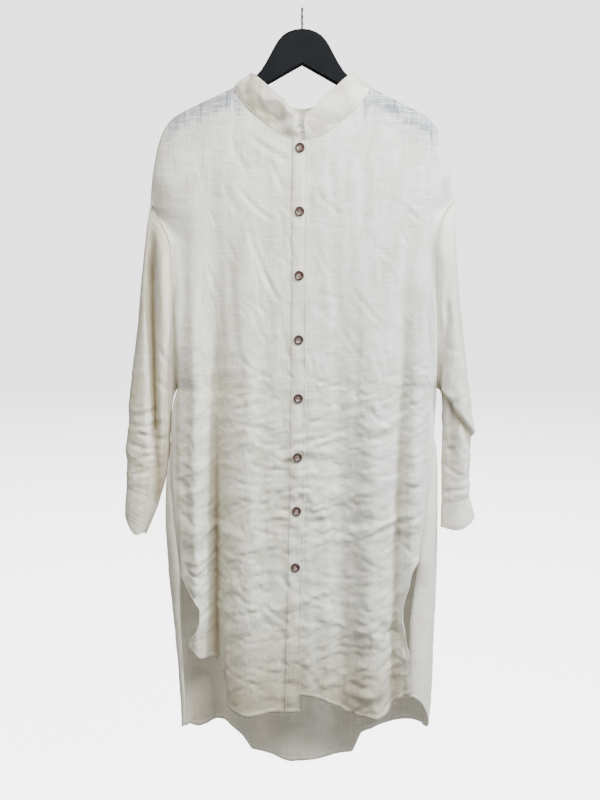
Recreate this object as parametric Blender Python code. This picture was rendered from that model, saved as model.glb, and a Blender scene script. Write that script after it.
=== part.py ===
import math
from collections import namedtuple

import bmesh
import bpy
import numpy as np
from mathutils import Vector

# A long linen shirt dress hanging from a flat hanger.
# World axes: +X to the viewer's right, the front faces -Y, +Z up.
# The origin is the top of the hook's inside, where it rests on a rail.
# Tables are in millimetres, and "drop" is the distance below the origin.
# Side -1 is the wearer's right (the viewer's left), side +1 the wearer's left.

MM = 0.001
RIGHT = -1
LEFT = 1

# Cloth walls and the clearance left at every seam
CLOTH_WALL = 1.4
CUFF_WALL = 2.0
COLLAR_WALL = 2.0
PLACKET_WALL = 1.2
LABEL_WALL = 0.8
SEAM_PULL = 0.24
LAY_GAP = 0.35
UNDERLAP_STEP = 3.4

# Levels shared by the body panels
SHOULDER_REACH = 245.0
NECK_REACH = 109.0
UNDERARM = 597.0
SLIT = {RIGHT: 905.0, LEFT: 893.0}
ARMHOLE_STEPS = (0.0, 0.015, 0.055, 0.11, 0.155, 0.21, 0.3, 0.44, 0.61, 0.8, 1.0)
BODY_ROWS = 7
TAIL_ROWS = 8

# Widths of the front edges, measured in from each panel's free edge
PLACKET_WIDTH = 24.0
BUTTON_OFFSET = 12.0
UNDERLAP_TO_COLLAR = 18.0
UNDERLAP_WIDTH = 10.0
UNDERLAP_RUN = 46.0

# Where the columns of points start on the shoulder and neck line
INNER_COLUMNS = (20.0, 40.0, 62.0, 85.0, 100.0, 109.0)
OUTER_COLUMNS = (128.0, 147.0, 166.0, 184.0, 198.0, 207.0, 216.0, 228.0, 239.0, 245.0)
OVER_COLUMNS = (28.0, 42.0, 62.0, 85.0, 100.0, 109.0)
TURN_START = 216.0 / SHOULDER_REACH
TURN_SIDE = 228.0 / SHOULDER_REACH
TURN_FRONT = 239.0 / SHOULDER_REACH

# How the back turns round the side onto the front of the dress
TURN_RUN = 110.0
TURN_START_SHARE = 0.965
TURN_FRONT_SHARE = 0.55
TURN_START_DEPTH = 19.0
TURN_SIDE_DEPTH = 1.0
TURN_FRONT_LEAD = 0.72

# How the columns follow the armholes, the free edges and the seams
EASE_TOP = 180.0
ARMHOLE_PULL = 3
EDGE_PULL = 6
SEAM_CALM = 0.1
BACK_CALM = 0.15

# Neckline: distance from the middle, drop of the front and of the back seam
Neck = namedtuple("Neck", "x front back")
NECKLINE = (
    Neck(0, 202, 183),
    Neck(8, 202, 183),
    Neck(20, 198, 182),
    Neck(40, 189, 178),
    Neck(62, 172, 167),
    Neck(85, 153, 150),
    Neck(100, 134, 132),
    Neck(109, 118, 118),
)

# Shoulder line from the neck to the top of the sleeve seam
Shoulder = namedtuple("Shoulder", "x right left")
SHOULDERS = (
    Shoulder(109, 118, 118),
    Shoulder(166, 144, 146),
    Shoulder(198, 160, 163),
    Shoulder(207, 167, 172),
    Shoulder(216, 177, 184),
    Shoulder(228, 203, 220),
    Shoulder(239, 252, 262),
    Shoulder(245, 306, 290),
)

# Armhole seams: how far out they run and how far front and back stand apart
Armhole = namedtuple("Armhole", "drop reach half_depth")
ARMHOLES = {
    RIGHT: (
        Armhole(118, 245, 0),
        Armhole(306, 245, 0),
        Armhole(321, 226, 8),
        Armhole(343, 213, 16),
        Armhole(364, 208, 21),
        Armhole(440, 206, 27),
        Armhole(517, 206, 23),
        Armhole(570, 205, 12),
        Armhole(597, 205, 0),
    ),
    LEFT: (
        Armhole(118, 245, 0),
        Armhole(290, 245, 0),
        Armhole(310, 227, 8),
        Armhole(326, 220, 15),
        Armhole(371, 215, 22),
        Armhole(440, 215, 27),
        Armhole(520, 218, 23),
        Armhole(570, 221, 12),
        Armhole(597, 222, 0),
    ),
}

# Sides below the underarm: seam, outline, and how far the seam lies forward
Side = namedtuple("Side", "drop seam outline lead")
SIDES = {
    RIGHT: (
        Side(597, 205, 205, 0),
        Side(660, 212, 213, 8),
        Side(749, 216, 222, 19),
        Side(815, 211, 231, 28),
        Side(905, 203, 228, 31),
        Side(1056, 199, 216, 34),
        Side(1200, 197, 209, 34),
    ),
    LEFT: (
        Side(597, 222, 222, 0),
        Side(660, 219, 222, 8),
        Side(730, 216, 227, 18),
        Side(812, 199, 229, 28),
        Side(893, 186, 230, 32),
        Side(1001, 186, 228, 36),
        Side(1148, 187, 224, 36),
        Side(1200, 187, 218, 36),
    ),
}

# Free edges below the side slits: shift of the front's and of the back's edge
FrontEdge = namedtuple("FrontEdge", "drop shift")
FRONT_EDGES = {
    RIGHT: (
        FrontEdge(905, 0),
        FrontEdge(937, -14),
        FrontEdge(968, -29),
        FrontEdge(993, -33),
        FrontEdge(1015, -24),
        FrontEdge(1038, -9),
        FrontEdge(1060, -11),
    ),
    LEFT: (
        FrontEdge(893, 0),
        FrontEdge(915, -10),
        FrontEdge(968, -24),
        FrontEdge(1019, -17),
        FrontEdge(1060, -9),
        FrontEdge(1108, -1),
    ),
}
BackEdge = namedtuple("BackEdge", "drop x")
BACK_EDGES = {
    RIGHT: (
        BackEdge(905, 203),
        BackEdge(965, 206),
        BackEdge(1056, 204),
        BackEdge(1130, 201),
        BackEdge(1200, 204),
    ),
    LEFT: (
        BackEdge(893, 186),
        BackEdge(975, 183),
        BackEdge(1045, 180),
        BackEdge(1115, 178),
        BackEdge(1200, 184),
    ),
}

# Curved hems, from the middle outward on the front and across the back
Hem = namedtuple("Hem", "x drop")
FRONT_HEMS = {
    RIGHT: (
        Hem(-10, 1154),
        Hem(22, 1153),
        Hem(50, 1151),
        Hem(86, 1158),
        Hem(113, 1149),
        Hem(125, 1137),
        Hem(130, 1100),
        Hem(150, 1089),
        Hem(167, 1080),
        Hem(188, 1058),
        Hem(200, 1050),
    ),
    LEFT: (
        Hem(-20, 1114),
        Hem(22, 1112),
        Hem(45, 1123),
        Hem(73, 1134),
        Hem(105, 1143),
        Hem(123, 1145),
        Hem(140, 1138),
        Hem(157, 1124),
        Hem(172, 1113),
        Hem(190, 1107),
    ),
}
BACK_HEM = (
    Hem(-207, 1199),
    Hem(-184, 1209),
    Hem(-166, 1202),
    Hem(-147, 1197),
    Hem(-118, 1213),
    Hem(-106, 1250),
    Hem(-94, 1266),
    Hem(-52, 1276),
    Hem(-7, 1283),
    Hem(34, 1278),
    Hem(67, 1270),
    Hem(94, 1263),
    Hem(109, 1245),
    Hem(126, 1224),
    Hem(146, 1219),
    Hem(172, 1214),
    Hem(197, 1197),
    Hem(218, 1196),
)
BACK_EDGE_HEM = {RIGHT: 1178.0, LEFT: 1128.0}
FRONT_HEM_PROBE = 1100.0
BACK_HEM_PROBE = 1190.0
TAIL_TUCK = 9.0
TAIL_TUCK_RUN = 60.0

# Depth of the hanging body at its middle, and how square its section is
Depth = namedtuple("Depth", "drop front back square")
DEPTHS = (
    Depth(60, 40, 50, 4.0),
    Depth(300, 42, 52, 4.0),
    Depth(600, 43, 50, 3.4),
    Depth(900, 46, 48, 3.0),
    Depth(1160, 50, 46, 2.8),
    Depth(1290, 50, 42, 2.8),
)
RIDGE_SHARE = 0.22
RIDGE_FALL = 4.0
DRAPE_FALL = 120.0

# Middle line of the button band, which drifts a little as the cloth hangs
Band = namedtuple("Band", "drop x")
BAND_LINE = (
    Band(200, -3),
    Band(480, -5),
    Band(700, -7),
    Band(900, -11),
    Band(1160, -17),
)

# Hanging folds of the body, as ridges (+) and troughs (-) of the cloth
FOLD_TOP = 200.0
FOLD_RUN = 950.0
Fold = namedtuple("Fold", "x_top x_hem width push lean begins full")
FRONT_FOLDS = (
    Fold(-112, -134, 13, -31, 0, 560, 1090),
    Fold(-96, -112, 20, 9, -8, 620, 1100),
    Fold(-178, -170, 14, -7, 0, 320, 900),
    Fold(-150, -152, 16, 5, 0, 300, 800),
    Fold(-48, -62, 26, 5, 0, 700, 1150),
    Fold(34, 28, 18, -6, 0, 620, 1120),
    Fold(84, 82, 28, 7, 0, 700, 1140),
    Fold(150, 152, 18, -10, 0, 420, 1120),
    Fold(190, 186, 16, 5, 0, 420, 900),
)
BACK_FOLDS = (
    Fold(-150, -128, 18, -16, 0, 420, 1200),
    Fold(-92, -84, 24, 9, 0, 500, 1200),
    Fold(-18, -22, 26, -8, 0, 420, 1240),
    Fold(58, 62, 26, 8, 0, 500, 1240),
    Fold(126, 120, 18, -15, 0, 420, 1200),
    Fold(176, 168, 20, 6, 0, 500, 1180),
)

# Collar band: for each point on the neck seam, how its top edge leans inward
Stand = namedtuple("Stand", "x front_inward front_rise back_inward back_rise")
COLLAR_STAND = (
    Stand(0, -5, 31, 0, 39),
    Stand(8, 6, 30, 2, 39),
    Stand(20, 17, 27, 5, 40),
    Stand(40, 29, 31, 11, 41),
    Stand(62, 29, 36, 17, 39),
    Stand(85, 28, 38, 23, 37),
    Stand(100, 28, 33, 27, 31),
    Stand(109, 29, 23, 29, 23),
)
COLLAR_MOUTH_REACH = 80.0
COLLAR_MOUTH_FRONT = 37.0
COLLAR_MOUTH_BACK = 44.0
COLLAR_ROWS = 3
COLLAR_SWELL = 1.5

# Sleeves: outer fold line, underarm line and half depth along the length
Sleeve = namedtuple("Sleeve", "along outer_x outer_drop inner_x inner_drop half_depth")
SLEEVES = {
    RIGHT: (
        Sleeve(0.00, 245, 306, 205, 597, 27),
        Sleeve(0.10, 250, 330, 216, 602, 30),
        Sleeve(0.20, 255, 370, 226, 614, 32),
        Sleeve(0.30, 261, 420, 232, 633, 32),
        Sleeve(0.45, 270, 500, 234, 662, 32),
        Sleeve(0.60, 281, 577, 233, 692, 30),
        Sleeve(0.80, 291, 672, 233, 741, 27),
        Sleeve(1.00, 294, 762, 243, 797, 22),
    ),
    LEFT: (
        Sleeve(0.00, 245, 290, 222, 597, 27),
        Sleeve(0.10, 247, 316, 229, 602, 30),
        Sleeve(0.20, 249, 360, 233, 614, 32),
        Sleeve(0.35, 254, 435, 235, 640, 34),
        Sleeve(0.55, 265, 538, 235, 684, 33),
        Sleeve(0.70, 273, 616, 235, 718, 30),
        Sleeve(0.85, 281, 700, 235, 755, 27),
        Sleeve(1.00, 281, 780, 237, 792, 23),
    ),
}
SLEEVE_ROWS = 12
SLEEVE_ROUNDING = 0.55
SLEEVE_FULLNESS = 0.8
SLEEVE_FOLD_EASE = 0.2
SLEEVE_SETTLE = 5
SLEEVE_CROWDING = 1.25

# Long folds of the sleeves: place around (0 outer, 1 underarm) and reach along
SleeveFold = namedtuple("SleeveFold", "side face around width push begins ends")
SLEEVE_FOLDS = (
    SleeveFold(RIGHT, -1, 0.40, 0.16, -17, 0.05, 0.85),
    SleeveFold(RIGHT, 1, 0.55, 0.20, -10, 0.15, 0.90),
    SleeveFold(LEFT, -1, 0.70, 0.18, -9, 0.45, 0.95),
    SleeveFold(LEFT, 1, 0.45, 0.20, -10, 0.15, 0.90),
)

# Cuff hems: outer and inner corner, half depth, sag of the lower edge
Cuff = namedtuple("Cuff", "outer_x outer_drop inner_x inner_drop half_depth sag")
CUFFS = {
    RIGHT: Cuff(299, 822, 266, 845, 20, 7),
    LEFT: Cuff(291, 816, 236, 836, 24, 12),
}
CUFF_ROWS = 2

# Buttons down the band
BUTTON_DROPS = (213, 311, 411, 513, 608, 705, 795, 891)
BUTTON_RADIUS = 7.5
BUTTON_SIDES = 16
BUTTON_STAND_OFF = 1.9
Ring = namedtuple("Ring", "radius height")
BUTTON_RINGS = (
    Ring(6.7, -1.2),
    Ring(7.5, -0.3),
    Ring(7.2, 0.9),
    Ring(6.0, 1.4),
    Ring(4.9, 0.7),
)
BUTTON_BACK = -1.2
BUTTON_DISH = 0.6

# Flat hanger: stations along one arm with the upper and lower edge
Arm = namedtuple("Arm", "x upper lower")
HANGER_ARM = (
    Arm(0, 29.0, 84.0),
    Arm(11, 30.0, 90.0),
    Arm(22, 33.7, 96.0),
    Arm(30, 38.6, 100.4),
    Arm(37, 46.0, 104.2),
    Arm(43, 55.0, 107.6),
    Arm(49, 66.0, 110.8),
    Arm(57, 80.0, 115.2),
    Arm(65, 92.0, 119.6),
    Arm(76, 103.0, 126.0),
    Arm(90, 114.5, 134.5),
    Arm(109, 127.0, 146.0),
    Arm(160, 151.5, 170.5),
    Arm(194, 168.5, 186.0),
    Arm(200, 172.5, 187.0),
    Arm(203, 176.5, 184.5),
)
HANGER_HALF_THICK = 6.0
HANGER_EDGE_HALF = 2.4
HANGER_EDGE_DROP = 4.0

# Wire hook, turned a quarter turn so that it is seen from its edge
HOOK_WIRE = 3.3
HOOK_INSIDE = 12.0
HOOK_FOOT = 28.6
HOOK_STEPS = 30
HOOK_SIDES = 8
HOOK_SWEEP = math.radians(285)
HOOK_TIP_BALL = 1.15

# Blank neck label on the inside of the back of the collar
LABEL_HALF_WIDTH = 11.0
LABEL_TOP = 0.42
LABEL_FOOT = 0.97
LABEL_COLUMNS = 4
LABEL_ROWS = 2

LINEN = (0.80, 0.79, 0.74)
LABEL_GREY = (0.42, 0.42, 0.41)
BUTTON_BROWN = (0.22, 0.13, 0.10)
HANGER_BLACK = (0.025, 0.027, 0.03)
STEEL = (0.45, 0.45, 0.46)


def clear_scene():
    for item in list(bpy.data.objects):
        bpy.data.objects.remove(item, do_unlink=True)


def surface(name, colour, roughness, metallic=0.0):
    made = bpy.data.materials.new(name)
    made.use_nodes = True
    shader = made.node_tree.nodes["Principled BSDF"]
    shader.inputs["Base Color"].default_value = (*colour, 1.0)
    shader.inputs["Roughness"].default_value = roughness
    shader.inputs["Metallic"].default_value = metallic
    return made


def curve(rows, key, value, at):
    """Value of one column of a table at a place along another column."""
    places = [getattr(row, key) for row in rows]
    values = [getattr(row, value) for row in rows]
    return float(np.interp(at, places, values))


def smooth(value):
    value = min(1.0, max(0.0, value))
    return value * value * (3.0 - 2.0 * value)


def bell(distance, width):
    return math.exp(-((distance / width) ** 2))


def place(x, y, drop):
    return Vector((x * MM, y * MM, -drop * MM))


# Body sections


def top_line(side, x, face):
    """Drop of the neck seam or the shoulder line at a distance from the middle."""
    if abs(x) <= NECK_REACH:
        return curve(NECKLINE, "x", face, abs(x))
    return curve(SHOULDERS, "x", "right" if side == RIGHT else "left", abs(x))


def ridge_line(side, x):
    """Top of the cloth over the hanger, carried on in a line across the neck."""
    if abs(x) < NECK_REACH:
        return curve(SHOULDERS, "x", "right", NECK_REACH) - (NECK_REACH - abs(x)) * 0.5
    return top_line(side, x, "front")


def reach(side, drop):
    if drop < UNDERARM:
        return curve(ARMHOLES[side], "drop", "reach", drop)
    return curve(SIDES[side], "drop", "seam", drop)


def easy_reach(side, drop):
    """Half width with the armhole's hollow smoothed out."""
    share = smooth((drop - EASE_TOP) / (UNDERARM - EASE_TOP))
    return SHOULDER_REACH + (reach(side, UNDERARM) - SHOULDER_REACH) * share


def band_line(drop):
    return curve(BAND_LINE, "drop", "x", drop)


def panel_x(side, share, drop, start):
    """Distance across at a share of the way from the panel's start to its side."""
    end = side * reach(side, drop)
    if drop >= UNDERARM:
        return start + (end - start) * share
    easy = side * easy_reach(side, drop)
    return start + (easy - start) * share + (end - easy) * share ** ARMHOLE_PULL


def spread(side, x_top, drop):
    """How far the cloth has moved away from the line over the hanger."""
    below = max(0.0, drop - ridge_line(side, x_top))
    ridge = RIDGE_SHARE * (1.0 - math.exp(-below / RIDGE_FALL))
    drape = (1.0 - RIDGE_SHARE) * (1.0 - math.exp(-below / DRAPE_FALL))
    return ridge + drape


def half_section(share, edge, middle, square):
    share = min(1.0, abs(share))
    return edge + (middle - edge) * (1.0 - share ** square) ** (1.0 / square)


def fold_push(folds, x, drop):
    """Outward push and sideways lean of all the folds at one point."""
    push = 0.0
    lean = 0.0
    for fold in folds:
        amount = smooth((drop - fold.begins) / (fold.full - fold.begins))
        middle = fold.x_top + (fold.x_hem - fold.x_top) * smooth((drop - FOLD_TOP) / FOLD_RUN)
        reachable = bell(x - middle, fold.width)
        push += fold.push * amount * reachable
        lean += fold.lean * amount * reachable
    return push, lean


def levels(top, side_slit, hem):
    """Drops of one column of points from its top to the hem."""
    drops = [top + (UNDERARM - top) * step for step in ARMHOLE_STEPS]
    drops += [UNDERARM + (side_slit - UNDERARM) * (i + 1) / BODY_ROWS for i in range(BODY_ROWS)]
    drops += [side_slit + (hem - side_slit) * (i + 1) / TAIL_ROWS for i in range(TAIL_ROWS)]
    return drops


def side_lead(side, drop):
    if drop < UNDERARM:
        return curve(ARMHOLES[side], "drop", "half_depth", drop)
    return curve(SIDES[side], "drop", "lead", drop)


def front_point(side, x_top, fixed, drop):
    """Point of a front panel; a fixed distance from the edge, or a share across."""
    edge = front_edge(side, drop)
    start = edge + side * front_fixed(side)[-1]
    if fixed is None:
        start_top = front_edge(side, 0) + side * front_fixed(side)[-1]
        share = (x_top - side * start_top) / (SHOULDER_REACH - side * start_top)
        x = panel_x(side, share, drop, start)
        if drop > SLIT[side]:
            shift = curve(FRONT_EDGES[side], "drop", "shift", drop)
            x += side * shift * share ** EDGE_PULL
    else:
        x = edge + side * fixed
    section = min(1.0, abs(x) / max(1.0, reach(side, drop)))
    if fixed is None and share >= 1.0:
        section = 1.0
    middle = curve(DEPTHS, "drop", "front", drop)
    square = curve(DEPTHS, "drop", "square", drop)
    lead = side_lead(side, drop)
    depth = lead + half_section(section, 0.0, middle - lead, square) * spread(side, x_top, drop)
    push, lean = fold_push(FRONT_FOLDS, x, drop)
    if fixed is None and share > 1.0 - SEAM_CALM and drop < SLIT[side]:
        push *= (1.0 - share) / SEAM_CALM
        lean *= (1.0 - share) / SEAM_CALM
    depth += push
    if side == LEFT:
        depth -= UNDERLAP_STEP * smooth((UNDERLAP_RUN - x) / UNDERLAP_RUN)
    return place(x + lean, -depth, drop)


def front_edge(side, drop):
    """Free edge of each front: the right one laps over the left one."""
    line = band_line(drop)
    if side == RIGHT:
        return line + BUTTON_OFFSET
    return line - UNDERLAP_WIDTH


def front_fixed(side):
    if side == RIGHT:
        return (0.0, BUTTON_OFFSET, PLACKET_WIDTH)
    return (0.0, UNDERLAP_TO_COLLAR)


def front_columns(side):
    """Every column of a front panel: place on the top line, fixed distance."""
    columns = []
    for distance in front_fixed(side):
        columns.append((side * front_edge(side, 0) + distance, distance))
    inner = OVER_COLUMNS if side == RIGHT else INNER_COLUMNS
    for x_top in inner + OUTER_COLUMNS:
        columns.append((x_top, None))
    return columns


def front_grid(side):
    columns = []
    for x_top, fixed in front_columns(side):
        top = top_line(side, x_top, "front")
        probe = front_point(side, x_top, fixed, FRONT_HEM_PROBE)
        hem = curve(FRONT_HEMS[side], "x", "drop", side * probe.x / MM)
        drops = levels(top, SLIT[side], hem)
        columns.append([front_point(side, x_top, fixed, drop) for drop in drops])
    return [list(row) for row in zip(*columns)]


def back_point(side, x_top, drop):
    share = x_top / SHOULDER_REACH
    middle = curve(DEPTHS, "drop", "back", drop)
    square = curve(DEPTHS, "drop", "square", drop)
    opened = spread(side, x_top, drop)
    x_open = abs(panel_x(side, share, drop, 0.0))
    section = x_open / reach(side, drop)
    held = side_lead(side, drop)
    y_open = held + half_section(section, 0.0, middle - held, square) * opened
    turned = smooth((drop - UNDERARM) / TURN_RUN)
    if turned > 0.0:
        outline = curve(SIDES[side], "drop", "outline", drop)
        seam = reach(side, drop)
        if drop > SLIT[side]:
            seam = curve(BACK_EDGES[side], "drop", "x", drop)
        lead = side_lead(side, drop) - TAIL_TUCK * smooth((drop - SLIT[side]) / TAIL_TUCK_RUN)
        stops = (0.0, TURN_START, TURN_SIDE, TURN_FRONT, 1.0)
        x_turned = np.interp(
            share,
            stops,
            (
                0.0,
                outline * TURN_START_SHARE,
                outline,
                seam + (outline - seam) * TURN_FRONT_SHARE,
                seam,
            ),
        )
        part = min(1.0, share / TURN_START)
        y_turned = half_section(part, TURN_START_DEPTH, middle, square)
        if share > TURN_START:
            y_turned = np.interp(
                share,
                (TURN_START, TURN_SIDE, TURN_FRONT, 1.0),
                (TURN_START_DEPTH, TURN_SIDE_DEPTH, -lead * TURN_FRONT_LEAD, -lead),
            )
        x_open = x_open + (float(x_turned) - x_open) * turned
        y_open = y_open + (float(y_turned) - y_open) * turned
    x = side * x_open
    push, lean = fold_push(BACK_FOLDS, x, drop)
    if share > 1.0 - BACK_CALM:
        push *= (1.0 - share) / BACK_CALM
    return place(x, y_open + push, drop)


def back_grid(fronts):
    """Back panel, sharing the shoulder and side seam points of the fronts."""
    half = list(INNER_COLUMNS + OUTER_COLUMNS)
    signed = [(RIGHT, x) for x in reversed(half)] + [(RIGHT, 0.0)]
    signed += [(LEFT, x) for x in half]
    columns = []
    for side, x_top in signed:
        tilt = 0.5 + 0.5 * side * x_top / SHOULDER_REACH
        slit = SLIT[RIGHT] + (SLIT[LEFT] - SLIT[RIGHT]) * tilt
        x_hem = back_point(side, x_top, BACK_HEM_PROBE).x / MM
        hem = curve(BACK_HEM, "x", "drop", x_hem)
        hem_share = smooth((x_top / SHOULDER_REACH - TURN_START) / (1.0 - TURN_START))
        hem += (BACK_EDGE_HEM[side] - hem) * hem_share ** 2
        top = top_line(side, x_top, "back")
        columns.append([back_point(side, x_top, drop) for drop in levels(top, slit, hem)])
    last_shared = len(ARMHOLE_STEPS) - 1 + BODY_ROWS
    first_arm = len(ARMHOLE_STEPS) - 1
    for j in range(last_shared + 1):
        right_seam = fronts[RIGHT][j][-1]
        left_seam = fronts[LEFT][j][-1]
        if 0 < j < first_arm:
            columns[0][j] = Vector((right_seam.x, -right_seam.y, right_seam.z))
            columns[-1][j] = Vector((left_seam.x, -left_seam.y, left_seam.z))
        else:
            columns[0][j] = right_seam.copy()
            columns[-1][j] = left_seam.copy()
    for i in range(len(OUTER_COLUMNS) + 1):
        columns[i][0] = fronts[RIGHT][0][-1 - i].copy()
        columns[-1 - i][0] = fronts[LEFT][0][-1 - i].copy()
    return [list(row) for row in zip(*columns)]


# Sleeves and cuffs


def around(step):
    """Share of the way across the flattened sleeve, and share of its depth."""
    angle = math.pi * step ** SLEEVE_ROUNDING
    return (1.0 - math.cos(angle)) / 2.0, max(0.0, math.sin(angle)) ** SLEEVE_FULLNESS


def sleeve_section(side, face, step, along):
    rows = SLEEVES[side]
    across, deep = around(step)
    outer_x = curve(rows, "along", "outer_x", along)
    inner_x = curve(rows, "along", "inner_x", along)
    outer_drop = curve(rows, "along", "outer_drop", along)
    inner_drop = curve(rows, "along", "inner_drop", along)
    depth = curve(rows, "along", "half_depth", along) * deep
    for fold in SLEEVE_FOLDS:
        if fold.side == side and fold.face == face:
            length = smooth((along - fold.begins) / SLEEVE_FOLD_EASE)
            length *= smooth((fold.ends - along) / SLEEVE_FOLD_EASE)
            depth += fold.push * length * bell(across - fold.around, fold.width) * deep
    x = outer_x + (inner_x - outer_x) * across
    drop = outer_drop + (inner_drop - outer_drop) * step
    return place(side * x, face * depth, drop)


def sleeve_ring(side, along, armhole):
    """One closed ring: outer fold, down the front, underarm, up the back."""
    ring = []
    count = len(ARMHOLE_STEPS)
    order = [(-1, i) for i in range(count)] + [(1, i) for i in range(count - 2, 0, -1)]
    settle = (1.0 - along) ** SLEEVE_SETTLE
    for number, (face, i) in enumerate(order):
        step = ARMHOLE_STEPS[i]
        here = sleeve_section(side, face, step, along)
        start = sleeve_section(side, face, step, 0.0)
        ring.append(here + (armhole[number] - start) * settle)
    return ring


def sleeve_grid(side, front, back):
    last = len(ARMHOLE_STEPS) - 1
    back_column = 0 if side == RIGHT else -1
    armhole = [front[j][-1] for j in range(last + 1)]
    armhole += [back[j][back_column] for j in range(last - 1, 0, -1)]
    rings = []
    for k in range(SLEEVE_ROWS + 1):
        rings.append(sleeve_ring(side, (k / SLEEVE_ROWS) ** SLEEVE_CROWDING, armhole))
    rings[0] = [point.copy() for point in armhole]
    return rings


def cuff_grid(side, sleeve):
    cuff = CUFFS[side]
    count = len(ARMHOLE_STEPS)
    order = [(-1, i) for i in range(count)] + [(1, i) for i in range(count - 2, 0, -1)]
    hem = []
    for face, i in order:
        across, deep = around(ARMHOLE_STEPS[i])
        x = cuff.outer_x + (cuff.inner_x - cuff.outer_x) * across
        drop = cuff.outer_drop + (cuff.inner_drop - cuff.outer_drop) * ARMHOLE_STEPS[i]
        drop += cuff.sag * math.sin(math.pi * across)
        hem.append(place(side * x, face * cuff.half_depth * deep, drop))
    rings = []
    for k in range(CUFF_ROWS + 1):
        share = k / CUFF_ROWS
        rings.append([top.lerp(foot, share) for top, foot in zip(sleeve[-1], hem)])
    return rings


# Collar band


def collar_top(x, seam, face):
    inward = curve(COLLAR_STAND, "x", face + "_inward", abs(x))
    rise = curve(COLLAR_STAND, "x", face + "_rise", abs(x))
    sign = -1.0 if x < 0 else 1.0
    top_x = sign * (abs(x) - inward)
    mouth = COLLAR_MOUTH_FRONT if face == "front" else COLLAR_MOUTH_BACK
    part = min(1.0, abs(top_x) / COLLAR_MOUTH_REACH)
    depth = mouth * math.sqrt(max(0.0, 1.0 - part * part))
    y = -depth if face == "front" else depth
    return place(top_x, y, -seam.z / MM - rise)


def collar_grid(fronts, back):
    """Ring of the band from the right front end, round the back, to the left end."""
    seam = []
    first_right = 1
    last_right = len(front_fixed(RIGHT)) + len(OVER_COLUMNS)
    for i in range(first_right, last_right):
        seam.append((fronts[RIGHT][0][i], "front"))
    middle = len(OUTER_COLUMNS)
    span = 2 * len(INNER_COLUMNS)
    for i in range(middle + 1, middle + span - 1 + 1):
        seam.append((back[0][i], "back"))
    first_left = 1
    last_left = len(front_fixed(LEFT)) + len(INNER_COLUMNS)
    for i in range(last_left - 1, first_left - 1, -1):
        seam.append((fronts[LEFT][0][i], "front"))
    rows = []
    for k in range(COLLAR_ROWS + 1):
        share = k / COLLAR_ROWS
        row = []
        for point, face in seam:
            top = collar_top(point.x / MM, point, face)
            mixed = point.lerp(top, share)
            swell = COLLAR_SWELL * MM * math.sin(math.pi * share)
            mixed.y += swell if point.y > 0 else -swell
            row.append(mixed)
        rows.append(row)
    return rows


# Turning a sheet of points into a closed wall of cloth


class Sheet:
    """Sheet of points with its outward side fixed by a direction at one spot."""

    def __init__(self, name, rows, outward, closed=False):
        self.name = name
        self.rows = rows
        self.closed = closed
        self.sign = 1.0
        spot_row = len(rows) // 2
        spot_column = outward[0]
        if self.face_normal(spot_row, spot_column).dot(Vector(outward[1])) < 0.0:
            self.sign = -1.0

    def columns(self):
        return len(self.rows[0])

    def cells(self):
        return self.columns() if self.closed else self.columns() - 1

    def corners(self, j, i):
        after = (i + 1) % self.columns()
        upper = self.rows[j]
        lower = self.rows[j + 1]
        return upper[i], upper[after], lower[after], lower[i]

    def leans(self, j, i):
        """Whether the cell's shorter diagonal runs from its second corner."""
        a, b, c, d = self.corners(j, i)
        return (b - d).length < (a - c).length

    def face_normal(self, j, i):
        a, b, c, d = self.corners(j, i)
        return (c - a).cross(d - b) * self.sign


def seam_key(point):
    return tuple(int(round(value * 100000)) for value in point)


def shared_normals(sheets):
    """Normals at every point, averaged over all the pieces that meet there."""
    sums = {}
    for sheet in sheets:
        for j in range(len(sheet.rows) - 1):
            for i in range(sheet.cells()):
                normal = sheet.face_normal(j, i)
                for corner in sheet.corners(j, i):
                    key = seam_key(corner)
                    sums[key] = sums.get(key, Vector((0, 0, 0))) + normal
    return {key: value.normalized() for key, value in sums.items()}


def pulled(sheet, j, i, normal, ends):
    """Point drawn in from the sheet's borders, to leave a clearance at seams.

    The way in is square to the border and to the shared normal, so that the
    pieces on both sides of a seam draw back in the same plane.
    """
    rows = sheet.rows
    count = sheet.columns()
    moved = rows[j][i].copy()
    last_row = len(rows) - 1
    last_column = count - 1
    if sheet.closed:
        across = rows[j][(i + 1) % count] - rows[j][i - 1]
    else:
        across = rows[j][min(last_column, i + 1)] - rows[j][max(0, i - 1)]
    down = rows[min(last_row, j + 1)][i] - rows[max(0, j - 1)][i]
    facing = normal * sheet.sign
    if ends and j in (0, last_row):
        way = facing.cross(across).normalized()
        moved += way * (SEAM_PULL * MM if j == 0 else -SEAM_PULL * MM)
    if not sheet.closed and i in (0, last_column):
        way = down.cross(facing).normalized()
        moved += way * (SEAM_PULL * MM if i == 0 else -SEAM_PULL * MM)
    return moved


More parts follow.
